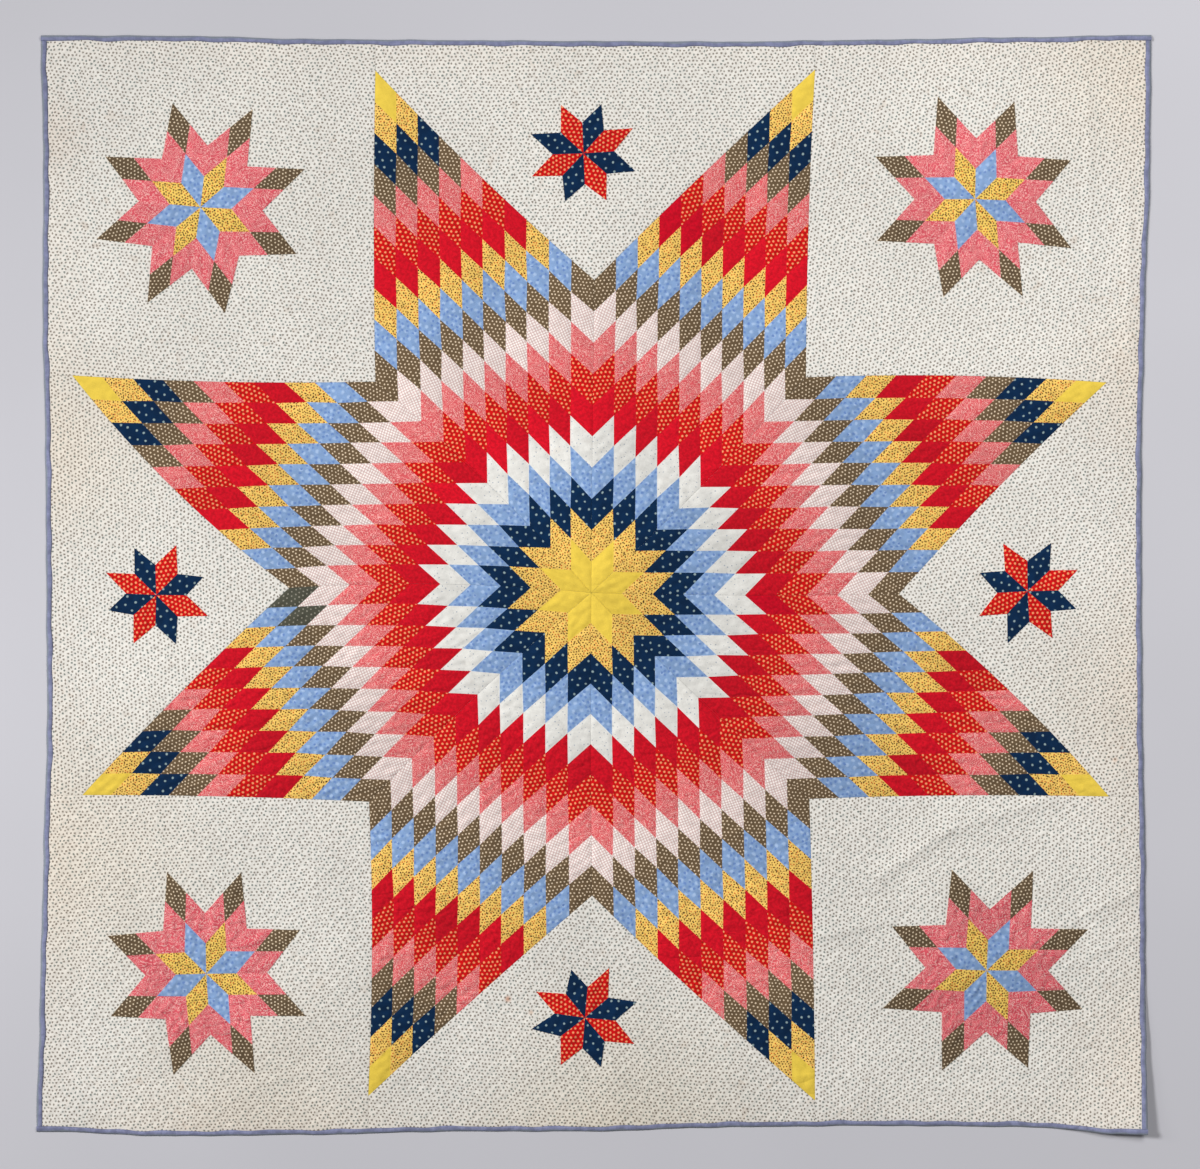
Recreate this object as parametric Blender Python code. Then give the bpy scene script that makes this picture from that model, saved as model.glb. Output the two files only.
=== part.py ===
"""Star quilt: a pieced eight-point star on a printed ground, lying face up.

The quilt lies flat on z = 0 with its face up (+Z), its top edge towards +Y and its middle at the
origin. Eight star points of small diamonds meet in the middle. Four corner squares and four side
triangles fill in round them, each with an applied star, and four lengths of binding close the
edge. Each piece is as thick as the quilt is there, low along its seams and quilting lines and
raised between them.
"""

from collections import Counter, namedtuple
import math

import bmesh
import bpy
from mathutils import Vector, geometry

MM = 0.001

# Driving sizes, in metres
PIECE_GAP = 0.0003
SEAM_THICKNESS = 0.0030
DIAMOND_PUFF = 0.0020
GROUND_PUFF = 0.0018
QUILTING_PITCH = 0.036
APPLIED_THICKNESS = 0.0008
APPLIED_PUFF = 0.0012
BINDING_WIDTH = 0.012
BINDING_HEIGHT = 0.0054
BINDING_ROLL = 0.0018
CORNER_LIFT = 0.024

# Counts
ARMS = 8
DIAMONDS_A_SIDE = 10
EDGE_STEPS = 32

# Spacing that keeps the raised points off the seams
RIM_CLEARANCE = 0.010
APPLIED_CLEARANCE = 0.009
APPLIED_MARGIN = 0.0015
FLAT_MARGIN = 0.060
LIFT_SPACING = 0.045
VALLEY_SHARE = 0.575
MERGE_DISTANCE = 1e-7

# How far the quilt's edge lies from its middle, in millimetres, at nine even stations a side.
# The sides run anticlockwise: right going up, top going left, left going down, bottom going right.
SIDES = ("right", "top", "left", "bottom")
EDGE_REACH = {
    "right": (1159, 1158, 1158, 1152, 1150, 1150, 1157, 1168, 1170),
    "top": (1156, 1151, 1146, 1142, 1143, 1145, 1147, 1154, 1155),
    "left": (1161, 1156, 1158, 1152, 1150, 1148, 1156, 1163, 1170),
    "bottom": (1147, 1156, 1153, 1146, 1146, 1137, 1134, 1136, 1150),
}

# The middle of the big star, in millimetres
STAR_MIDDLE = (-6, -15)

# One row for each star point, anticlockwise from the right, in millimetres. The corner is the
# inner one on its first side. A bow is how far the middle of a seam leans to the right of its way
# out: the seam from the star's middle, the first edge to the tip and the second edge to the tip.
Arm = namedtuple("Arm", "corner_x corner_y tip_x tip_y seam_bow first_bow second_bow")
STAR_ARMS = (
    Arm(641, -16, 1073, 428, 4, -5, -9),
    Arm(447, 438, 464, 1089, 6, -7, -4),
    Arm(1, 642, -469, 1083, -1, -5, 4),
    Arm(-465, 429, -1105, 433, 12, -2, -18),
    Arm(-644, -1, -1074, -425, 13, 0, -7),
    Arm(-479, -459, -474, -1069, 8, -8, 3),
    Arm(-4, -651, 471, -1084, 2, 6, 2),
    Arm(456, -454, 1089, -429, 6, 0, -5),
)

# Applied stars, one on each panel of the ground: the middle in millimetres, the small diamonds on
# a side of each arm, then the angle of each tip in degrees and its reach in millimetres.
AppliedStar = namedtuple("AppliedStar", "name x y diamonds angles reaches")
APPLIED_STARS = (
    AppliedStar("side_star_right", 910, -12, 1,
                (23, 64, 117, 159, 207, 249, 298, 340), (114, 113, 112, 108, 114, 117, 111, 109)),
    AppliedStar("corner_star_top_right", 800, 811, 2,
                (22, 68, 110, 157, 203, 252, 296, 333), (214, 217, 226, 225, 221, 213, 224, 224)),
    AppliedStar("side_star_top", -22, 907, 1,
                (27, 70, 115, 160, 204, 249, 296, 341), (116, 110, 112, 118, 119, 108, 109, 115)),
    AppliedStar("corner_star_top_left", -826, 794, 2,
                (20, 62, 105, 152, 197, 241, 283, 334), (230, 230, 223, 223, 225, 226, 225, 221)),
    AppliedStar("side_star_left", -919, -20, 1,
                (21, 68, 115, 156, 198, 245, 292, 338), (106, 113, 109, 115, 105, 112, 111, 117)),
    AppliedStar("corner_star_bottom_left", -814, -815, 2,
                (25, 71, 111, 159, 204, 252, 296, 337), (214, 222, 226, 219, 216, 220, 229, 224)),
    AppliedStar("side_star_bottom", -19, -907, 1,
                (17, 64, 106, 152, 192, 243, 288, 332), (114, 116, 105, 116, 115, 111, 109, 117)),
    AppliedStar("corner_star_bottom_right", 824, -808, 2,
                (22, 65, 109, 155, 200, 246, 293, 338), (227, 228, 221, 216, 229, 227, 219, 214)),
)
GROUND_NAMES = (
    "side_triangle_right",
    "corner_square_top_right",
    "side_triangle_top",
    "corner_square_top_left",
    "side_triangle_left",
    "corner_square_bottom_left",
    "side_triangle_bottom",
    "corner_square_bottom_right",
)

# Soft ridges where the cloth has been folded, from start to end, in millimetres
Ridge = namedtuple("Ridge", "x0 y0 x1 y1 rise half_width")
RIDGES = (
    Ridge(601, -610, 746, -505, 3.0, 30),
    Ridge(746, -505, 947, -450, 2.5, 30),
    Ridge(487, -732, 600, -700, 2.0, 28),
    Ridge(1000, -705, 1138, -635, 2.2, 28),
    Ridge(1035, 988, 1035, 705, 2.0, 26),
    Ridge(1120, 831, 1120, 505, 1.8, 26),
    Ridge(-588, -587, -588, -700, 1.6, 26),
    Ridge(-600, 560, -476, 600, 1.6, 26),
)

# The bottom right corner curls up beyond this line, given by two of its points in millimetres
LIFT_START = (1158, -786)
LIFT_END = (937, -1150)

# Cloths: red, green and blue from 0 to 255
CLOTHS = {
    "pieced_patchwork": (176, 132, 118),
    "applied_patchwork": (170, 118, 110),
    "printed_ground": (232, 228, 219),
    "binding_cotton": (112, 122, 172),
}
CLOTH_ROUGHNESS = 0.9
CLOTH_METALLIC = 0.0


def clear_scene():
    """Remove every object, so that the quilt is built in an empty scene."""
    for item in list(bpy.data.objects):
        bpy.data.objects.remove(item, do_unlink=True)


def linear(channel):
    """Turn a displayed colour channel, 0 to 255, into the linear value that a shader takes."""
    value = channel / 255
    return value / 12.92 if value <= 0.04045 else ((value + 0.055) / 1.055) ** 2.4


def cotton(cloth):
    """Find or make the matt material of one cloth."""
    material = bpy.data.materials.get(cloth)
    if material is None:
        material = bpy.data.materials.new(cloth)
        material.use_nodes = True
        shader = material.node_tree.nodes["Principled BSDF"]
        colour = [linear(channel) for channel in CLOTHS[cloth]]
        shader.inputs["Base Color"].default_value = (*colour, 1.0)
        shader.inputs["Roughness"].default_value = CLOTH_ROUGHNESS
        shader.inputs["Metallic"].default_value = CLOTH_METALLIC
    return material


def place(x, y):
    """Point in the plane from its millimetres."""
    return Vector((x, y)) * MM


def mix(start, end, share):
    """What lies the given share of the way from start to end."""
    return start + (end - start) * share


def smooth(share):
    """Ease from 0 to 1 with level ends."""
    share = min(max(share, 0.0), 1.0)
    return share * share * (3 - 2 * share)


def distance_to_segment(point, start, end):
    """Shortest distance from the point to the straight line between start and end."""
    run = end - start
    share = min(max((point - start).dot(run) / run.length_squared, 0.0), 1.0)
    return (point - start - run * share).length


def loop_segments(loop):
    """Pairs of neighbouring points round a closed loop."""
    return list(zip(loop, loop[1:] + loop[:1]))


def distance_to_loop(point, loop):
    """Shortest distance from the point to a closed loop."""
    return min(distance_to_segment(point, start, end) for start, end in loop_segments(loop))


def is_inside(point, loop):
    """True where the point lies inside a closed loop."""
    hit = False
    for start, end in loop_segments(loop):
        if (start.y > point.y) != (end.y > point.y):
            crossing = mix(start.x, end.x, (point.y - start.y) / (end.y - start.y))
            if point.x < crossing:
                hit = not hit
    return hit


def draw_in(loop, inset):
    """Draw an anticlockwise loop in by the inset, keeping its number of points."""
    drawn = []
    for index, point in enumerate(loop):
        behind = (point - loop[index - 1]).normalized()
        ahead = (loop[(index + 1) % len(loop)] - point).normalized()
        first = Vector((-behind.y, behind.x))
        second = Vector((-ahead.y, ahead.x))
        drawn.append(point + (first + second) * (inset / (1 + first.dot(second))))
    return drawn


def ring_edges(count, first=0):
    """Numbered edges that close count points into a ring, the lowest of them numbered first."""
    return [(first + step, first + (step + 1) % count) for step in range(count)]


def edge_reach(side, step):
    """Distance from the quilt's middle to one side, a whole number of steps along it.

    The edge runs straight along the axis in the step next to each corner.
    """
    reach = EDGE_REACH[SIDES[side]]
    if step <= 1 or step >= EDGE_STEPS - 1:
        return reach[0 if step <= 1 else -1] * MM
    station = step * (len(reach) - 1) / EDGE_STEPS
    row = int(station)
    return mix(reach[row], reach[row + 1], smooth(station - row)) * MM


def edge_span(side):
    """Where one side of the quilt starts and ends, measured along it from its middle."""
    return -EDGE_REACH[SIDES[side - 1]][-1] * MM, EDGE_REACH[SIDES[(side + 1) % 4]][0] * MM


def edge_point(side, step, inset=0.0):
    """Point on the quilt's edge, so many steps along a side, or that far in from it."""
    start, end = edge_span(side)
    low = min(int(step), EDGE_STEPS - 1)
    out = mix(edge_reach(side, low), edge_reach(side, low + 1), step - low) - inset
    along = min(max(mix(start, end, step / EDGE_STEPS), start + inset), end - inset)
    turned = ((out, along), (-along, out), (-out, -along), (along, -out))
    return Vector(turned[side])


def corner_lift(point):
    """Height of the quilt's back where the bottom right corner curls up."""
    start = place(*LIFT_START)
    along = (place(*LIFT_END) - start).normalized()
    outward = Vector((-along.y, along.x))
    full = (edge_point(0, 0) - start).dot(outward)
    past = (point - start).dot(outward) / full
    return CORNER_LIFT * max(past, 0.0) ** 1.5


def ridge_height(point):
    """Rise of the soft ridges, which die out round the applied stars."""
    total = 0.0
    for ridge in RIDGES:
        away = distance_to_segment(point, place(ridge.x0, ridge.y0), place(ridge.x1, ridge.y1))
        total += ridge.rise * MM * math.exp(-((away / (ridge.half_width * MM)) ** 2))
    for star in APPLIED_STARS:
        away = (point - place(star.x, star.y)).length - max(star.reaches) * MM
        total *= smooth(away / FLAT_MARGIN)
    return total


def bowed(start, end, share, bow):
    """Point on a seam whose middle leans to the right of its way out by the bow."""
    run = end - start
    right = Vector((run.y, -run.x)).normalized()
    return start + run * share + right * (bow * MM * 4 * share * (1 - share))


def star_corner(index):
    """Inner corner where a star point's first side ends."""
    arm = STAR_ARMS[index % ARMS]
    return place(arm.corner_x, arm.corner_y)


def star_tip(index):
    """Tip of a star point."""
    arm = STAR_ARMS[index % ARMS]
    return place(arm.tip_x, arm.tip_y)


def star_node(index, first, second):
    """Point in a star point, from 0 to 1 along its first side and along its second side."""
    arm = STAR_ARMS[index % ARMS]
    after = STAR_ARMS[(index + 1) % ARMS]
    middle = place(*STAR_MIDDLE)
    near = star_corner(index)
    far = star_corner(index + 1)
    tip = star_tip(index)
    flat = mix(mix(middle, near, first), mix(far, tip, first), second)
    near_lean = bowed(middle, near, first, arm.seam_bow) - mix(middle, near, first)
    far_lean = bowed(far, tip, first, arm.second_bow) - mix(far, tip, first)
    inner_lean = bowed(middle, far, second, after.seam_bow) - mix(middle, far, second)
    outer_lean = bowed(near, tip, second, arm.first_bow) - mix(near, tip, second)
    return flat + mix(near_lean, far_lean, second) + mix(inner_lean, outer_lean, first)


def fill_flat(points, edges, rim_count):
    """Triangles between numbered points, the first of them the rim, with the given edges kept."""
    flat = [Vector(point[:2]) for point in points]
    filled = geometry.delaunay_2d_cdt(flat, edges, [], 0, MERGE_DISTANCE, True)
    source = [numbers[0] for numbers in filled[3]]
    triangles = [tuple(source[corner] for corner in face) for face in filled[2]]
    rim = {frozenset(edge) for edge in ring_edges(rim_count)}
    return peel_outside(triangles, rim)


def peel_outside(triangles, rim):
    """Take away the triangles outside the rim, from the outermost inwards."""
    while True:
        uses = Counter(side for triangle in triangles for side in triangle_sides(triangle))
        kept = []
        for triangle in triangles:
            if all(uses[side] > 1 or side in rim for side in triangle_sides(triangle)):
                kept.append(triangle)
        if len(kept) == len(triangles):
            return kept
        triangles = kept


def triangle_sides(triangle):
    """The three sides of a triangle as pairs of its numbered corners."""
    a, b, c = triangle
    return frozenset((a, b)), frozenset((b, c)), frozenset((c, a))


def close_cloth(name, cloth, rim, inner, edges, back=(), low=0.0, high=SEAM_THICKNESS):
    """Build one closed piece of cloth.

    rim is its outline and back has the points on its underside, all in the plane. inner has the
    points on its face, each with its puff, and edges the seams between face points, numbered
    with the rim's points first. low and high are the heights of its underside and its rim.
    """
    face = [Vector((*p, high + ridge_height(p) + corner_lift(p))) for p in rim]
    face += [Vector((*p, high + puff + ridge_height(p) + corner_lift(p))) for p, puff in inner]
    under = [Vector((*p, low + corner_lift(p))) for p in [*rim, *back]]
    around = ring_edges(len(rim))
    builder = bmesh.new()
    upper = [builder.verts.new(point) for point in face]
    lower = [builder.verts.new(point) for point in under]
    for corners in fill_flat(face, around + edges, len(rim)):
        builder.faces.new([upper[corner] for corner in corners])
    for corners in fill_flat(under, around, len(rim)):
        builder.faces.new([lower[corner] for corner in reversed(corners)])
    for start, end in around:
        builder.faces.new((lower[start], lower[end], upper[end], upper[start]))
    return link_mesh(name, cloth, builder)


def link_mesh(name, cloth, builder):
    """Turn the built mesh outward and link it as an object of the given cloth."""
    bmesh.ops.recalc_face_normals(builder, faces=builder.faces)
    mesh = bpy.data.meshes.new(name)
    builder.to_mesh(mesh)
    builder.free()
    mesh.materials.append(cotton(cloth))
    item = bpy.data.objects.new(name, mesh)
    bpy.context.scene.collection.objects.link(item)
    return item


def star_point(index):
    """Build one point of the big star, its small diamonds raised between their seams."""
    last = DIAMONDS_A_SIDE
    steps = range(last)
    rim_keys = [(i, 0) for i in steps] + [(last, j) for j in steps]
    rim_keys += [(last - i, last) for i in steps] + [(0, last - j) for j in steps]
    inner_keys = [(i, j) for i in range(1, last) for j in range(1, last)]
    number = {key: count for count, key in enumerate(rim_keys + inner_keys)}
    edges = [(number[i, j], number[i + 1, j]) for i in steps for j in range(1, last)]
    edges += [(number[i, j], number[i, j + 1]) for i in range(1, last) for j in steps]
    nodes = {key: star_node(index, key[0] / last, key[1] / last) for key in number}
    rim = draw_in([nodes[key] for key in rim_keys], PIECE_GAP / 2)
    inner = [(nodes[key], 0.0) for key in inner_keys]
    for i in steps:
        for j in steps:
            crown = nodes[i, j] + nodes[i + 1, j] + nodes[i + 1, j + 1] + nodes[i, j + 1]
            inner.append((crown / 4, DIAMOND_PUFF))
    close_cloth(f"star_point_{index + 1}", "pieced_patchwork", rim, inner, edges)


def edge_place(index):
    """Side of the quilt straight out from a star point's tip, and how many steps along it."""
    side = ((index % ARMS + 1) // 2) % 4
    tip = star_tip(index)
    along = (tip.y, -tip.x, -tip.y, tip.x)[side]
    start, end = edge_span(side)
    return side, EDGE_STEPS * (along - start) / (end - start)


def ground_outline(index):
    """Outline of the panel of ground that fills in one inner corner of the big star."""
    last = DIAMONDS_A_SIDE
    inset = BINDING_WIDTH + PIECE_GAP / 2
    loop = [star_node(index - 1, step / last, 1) for step in range(last + 1)]
    side, step = edge_place(index - 1)
    end_side, end_step = edge_place(index)
    loop.append(edge_point(side, step, inset))
    if side != end_side:
        loop += [edge_point(side, s, inset) for s in range(int(step) + 1, EDGE_STEPS + 1)]
        step = 0
    loop += [edge_point(end_side, s, inset) for s in range(int(step) + 1, int(end_step) + 1)]
    loop.append(edge_point(end_side, end_step, inset))
    loop += [star_node(index, 1, step / last) for step in range(last, 0, -1)]
    return draw_in(loop, PIECE_GAP / 2)


def applied_key(arm, i, j):
    """Name for a corner of a small diamond, the same from both arms that share it."""
    if i == 0 and j == 0:
        return (0, 0, 0)
    return ((arm + 1) % ARMS, j, 0) if i == 0 else (arm, i, j)


def applied_nodes(star):
    """Corners of every small diamond of an applied star, in the plane."""
    middle = place(star.x, star.y)
    tips = []
    valleys = []
    reach = VALLEY_SHARE * sum(star.reaches) / ARMS
    for arm in range(ARMS):
        turn = math.radians(star.angles[arm])
        tips.append(place(math.cos(turn), math.sin(turn)) * star.reaches[arm])
        before = star.angles[arm - 1] - (360 if arm == 0 else 0)
        turn = math.radians((before + star.angles[arm]) / 2)
        valleys.append(place(math.cos(turn), math.sin(turn)) * reach)
    nodes = {}
    last = star.diamonds
    for arm in range(ARMS):
        for i in range(last + 1):
            for j in range(last + 1):
                near = valleys[arm] * (i / last)
                far = mix(valleys[(arm + 1) % ARMS], tips[arm], i / last)
                nodes[applied_key(arm, i, j)] = middle + mix(near, far, j / last)
    return nodes


def applied_rim_keys(star):
    """Names of the corners round an applied star's outline, anticlockwise."""
    last = star.diamonds
    keys = []
    for arm in range(ARMS):
        keys += [(arm, last, j) for j in range(last)]
        keys += [(arm, i, last) for i in range(last, 0, -1)]
    return keys


def applied_star(star):
    """Build one applied star, lying just above its ground."""
    nodes = applied_nodes(star)
    rim_keys = applied_rim_keys(star)
    inner_keys = [key for key in nodes if key not in rim_keys]
    number = {key: count for count, key in enumerate(rim_keys + inner_keys)}
    inner = [(nodes[key], 0.0) for key in inner_keys]
    seams = set()
    for arm in range(ARMS):
        for i in range(star.diamonds):
            for j in range(star.diamonds):
                corners = ((i, j), (i + 1, j), (i + 1, j + 1), (i, j + 1))
                keys = [applied_key(arm, *corner) for corner in corners]
                for start, end in loop_segments(keys):
                    seams.add(tuple(sorted((number[start], number[end]))))
                crown = sum((nodes[key] for key in keys), Vector((0, 0))) / 4
                inner.append((crown, APPLIED_PUFF))
    seams -= {tuple(sorted(edge)) for edge in ring_edges(len(rim_keys))}
    rim = [nodes[key] for key in rim_keys]
    low = SEAM_THICKNESS + PIECE_GAP
    high = low + APPLIED_THICKNESS
    close_cloth(star.name, "applied_patchwork", rim, inner, sorted(seams), (), low, high)


def crosshatch(loop, outline):
    """Crossings and crowns of the slanted quilting inside a panel, and its stitched lines."""
    spacing = QUILTING_PITCH / math.sqrt(2)
    columns = [int(p.x / spacing) for p in loop]
    rows = [int(p.y / spacing) for p in loop]
    number = {}
    points = []
    for column in range(min(columns) - 1, max(columns) + 2):
        for row in range(min(rows) - 1, max(rows) + 2):
            point = Vector((column, row)) * spacing
            if not is_inside(point, loop) or is_inside(point, outline):
                continue
            if distance_to_loop(point, loop) < RIM_CLEARANCE:
                continue
            if distance_to_loop(point, outline) < APPLIED_CLEARANCE:
                continue
            number[column, row] = len(points)
            points.append((point, GROUND_PUFF if (column + row) % 2 else 0.0))
    lines = []
    for column, row in number:
        if (column + row) % 2:
            continue
        for key in ((column + 1, row + 1), (column + 1, row - 1)):
            if key in number and is_clear(points, number[column, row], number[key], loop, outline):
                lines.append((number[column, row], number[key]))
    return points, lines


def is_clear(points, first, second, loop, outline):
    """True where the straight line between two points crosses neither loop."""
    start = points[first][0]
    end = points[second][0]
    for before, after in loop_segments(loop) + loop_segments(outline):
        if geometry.intersect_line_line_2d(start, end, before, after):
            return False
    return True


def lifted_points(loop):
    """Points on the underside of a panel where the corner curls up from it, and where it starts."""
    start = place(*LIFT_START)
    along = (place(*LIFT_END) - start).normalized()
    outward = Vector((-along.y, along.x))
    points = []
    for row in range(6):
        for column in range(-1, 12):
            point = start + (outward * row + along * column) * LIFT_SPACING
            if is_inside(point, loop) and distance_to_loop(point, loop) > RIM_CLEARANCE:
                points.append(point)
    return points


def ground_panel(index):
    """Build one corner square or side triangle, quilted round its applied star."""
    loop = ground_outline(index)
    star = APPLIED_STARS[index]
    nodes = applied_nodes(star)
    outline = draw_in([nodes[key] for key in applied_rim_keys(star)], -APPLIED_MARGIN)
    quilting, lines = crosshatch(loop, outline)
    shift = len(loop) + len(outline)
    edges = ring_edges(len(outline), len(loop))
    edges += [(start + shift, end + shift) for start, end in lines]
    inner = [(point, 0.0) for point in outline] + quilting
    close_cloth(GROUND_NAMES[index], "printed_ground", loop, inner, edges, lifted_points(loop))


def binding_section():
    """Section of the binding: how far in from the quilt's edge, and how high."""
    return (
        (BINDING_WIDTH, 0.0),
        (BINDING_ROLL, 0.0),
        (0.0, BINDING_HEIGHT * 0.40),
        (BINDING_ROLL * 0.6, BINDING_HEIGHT * 0.80),
        (BINDING_WIDTH * 0.40, BINDING_HEIGHT),
        (BINDING_WIDTH, BINDING_HEIGHT * 0.84),
    )


def binding_strip(side):
    """Build the binding of one side. Those of the top and bottom cover the ends of the others."""
    covers = SIDES[side] in ("top", "bottom")
    start, end = edge_span(side)
    trim = 0.0 if covers else EDGE_STEPS * (BINDING_WIDTH + PIECE_GAP) / (end - start)
    steps = [trim, *range(1, EDGE_STEPS), EDGE_STEPS - trim]
    inward = Vector(((-1, 0), (0, -1), (1, 0), (0, 1))[side])
    section = binding_section()
    builder = bmesh.new()
    rings = []
    for step in steps:
        ring = []
        for inset, height in section:
            point = edge_point(side, step) + inward * inset
            ring.append(builder.verts.new((*point, corner_lift(point) + height)))
        rings.append(ring)
    for ring, after in zip(rings, rings[1:]):
        for start, end in ring_edges(len(section)):
            builder.faces.new((ring[start], ring[end], after[end], after[start]))
    builder.faces.new(rings[0])
    builder.faces.new(reversed(rings[-1]))
    link_mesh(f"binding_{SIDES[side]}", "binding_cotton", builder)


def main():
    """Build every piece of the quilt."""
    clear_scene()
    for index in range(ARMS):
        star_point(index)
        ground_panel(index)
    for star in APPLIED_STARS:
        applied_star(star)
    for side in range(len(SIDES)):
        binding_strip(side)


main()
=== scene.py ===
"""Star quilt: the dressed model of a pieced eight-point star quilt, laid flat and face up.

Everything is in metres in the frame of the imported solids: the face looks up +Z, the top edge lies
towards +Y and the middle of the outline is the origin. Tables and names that end in _mm are in
millimetres.
"""

from __future__ import annotations

import logging
import math
from dataclasses import dataclass, field
from enum import Enum
from typing import NamedTuple

import bpy
import numpy as np
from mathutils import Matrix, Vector, geometry

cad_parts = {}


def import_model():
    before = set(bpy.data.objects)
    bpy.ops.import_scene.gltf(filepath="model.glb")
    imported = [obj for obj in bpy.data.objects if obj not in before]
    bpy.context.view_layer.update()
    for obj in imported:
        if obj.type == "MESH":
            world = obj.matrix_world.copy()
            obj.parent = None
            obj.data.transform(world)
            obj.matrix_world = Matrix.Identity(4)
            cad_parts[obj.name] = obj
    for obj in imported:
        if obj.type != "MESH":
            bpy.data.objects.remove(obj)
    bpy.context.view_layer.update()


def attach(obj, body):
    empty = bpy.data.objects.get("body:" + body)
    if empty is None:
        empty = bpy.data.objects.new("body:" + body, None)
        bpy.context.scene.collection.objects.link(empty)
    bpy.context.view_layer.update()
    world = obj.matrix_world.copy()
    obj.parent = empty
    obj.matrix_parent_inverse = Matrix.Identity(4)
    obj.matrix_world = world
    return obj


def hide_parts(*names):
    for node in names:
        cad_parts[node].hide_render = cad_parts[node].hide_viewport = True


LOG = logging.getLogger("star_quilt")
MM = 0.001
ARMS = 8
BODY = "root"
ROW_SHARE = 0.866
SHARP_DEGREES = 50
NUDGE = 1e-9

Socket = bpy.types.NodeSocket
Value = float | tuple[float, ...] | Socket
Inputs = dict[int | str, Value]
Rgb = tuple[int, int, int]


class Side(Enum):
    """The four sides of the quilt, anticlockwise, with their number."""

    RIGHT = 0
    TOP = 1
    LEFT = 2
    BOTTOM = 3

    @property
    def word(self) -> str:
        """The side's name as the nodes spell it."""
        return self.name.lower()


class Slot(Enum):
    """The record's material slots."""

    PATCHWORK = "pieced_patchwork"
    APPLIED = "applied_patchwork"
    GROUND = "printed_ground"
    BINDING = "binding_cotton"


class Cloth(Enum):
    """The cottons that the quilt is made of."""

    YELLOW = "yellow_plain"
    GOLD = "gold_speckled"
    NAVY = "navy_dotted"
    BLUE = "light_blue_flowered"
    WHITE = "white_specked"
    RED = "red_plain"
    CRIMSON = "crimson_plain"
    RED_DOT = "red_dotted"
    PINK = "pink_squiggled"
    CHECK = "pink_checked"
    BROWN = "brown_dotted"
    CHARCOAL = "charcoal_dotted"
    ROSE = "rose_squiggled"
    AMBER = "amber_speckled"
    UMBER = "umber_dotted"
    GROUND = "sprigged_ground"
    BINDING = "binding_blue"
    BACKING = "backing_muslin"


class Arm(NamedTuple):
    """One point of the big star, in millimetres; a bow leans to the right of the way out."""

    corner_x: float
    corner_y: float
    tip_x: float
    tip_y: float
    seam_bow: float
    first_bow: float
    second_bow: float
    # Painted light and shade over the whole point: lighter above 0, darker below
    tone: float


class AppliedPlan(NamedTuple):
    """One applied star: its middle and the reach of its tips in millimetres, angles in degrees."""

    name: str
    x: float
    y: float
    diamonds: int
    angles: tuple[int, ...]
    reaches: tuple[int, ...]
    inner: tuple[Cloth, Cloth]
    tone: float = 0.0


class Fold(NamedTuple):
    """A soft ridge, or a trough where rise is negative, from start to end, in millimetres."""

    x0: float
    y0: float
    x1: float
    y1: float
    rise: float
    half_width: float


class PanelPlan(NamedTuple):
    """One panel of ground: the slants of its quilting and the lie of its print, in degrees."""

    name: str
    first_slant: float
    second_slant: float
    print_turn: float


EDGE_REACH_MM: dict[Side, tuple[float, ...]] = {
    Side.RIGHT: (1159, 1158, 1158, 1152, 1150, 1150, 1157, 1168, 1170),
    Side.TOP: (1156, 1151, 1146, 1142, 1143, 1145, 1147, 1154, 1155),
    Side.LEFT: (1161, 1156, 1158, 1152, 1150, 1148, 1156, 1163, 1170),
    Side.BOTTOM: (1147, 1156, 1153, 1146, 1146, 1137, 1134, 1136, 1150),
}
BINDING_REACH_MM = {Side.RIGHT: 11.6, Side.TOP: 11.0, Side.LEFT: 11.6, Side.BOTTOM: 10.4}
STAR_MIDDLE_MM = (-6.0, -15.0)
# Last column: tone, painted light and shade over a whole point, darkest on the right-hand points
STAR_ARMS = (
    Arm(640, -18, 1076, 426, 4, -8, -9, -1.2),
    Arm(445, 437, 464, 1083, 6, -4, -4, 0.3),
    Arm(1, 641, -459, 1081, -1, -8, -3, 0.9),
    Arm(-459, 428, -1095, 441, 12, -7, -21, 0.3),
    Arm(-640, -5, -1074, -440, 13, 6, 4, -0.4),
    Arm(-472, -454, -474, -1072, 8, -7, 4, 0.1),
    Arm(-4, -651, 464, -1081, 2, 5, -2, 0.2),
    Arm(452, -448, 1081, -443, 6, -5, -15, -1.3),
)
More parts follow.
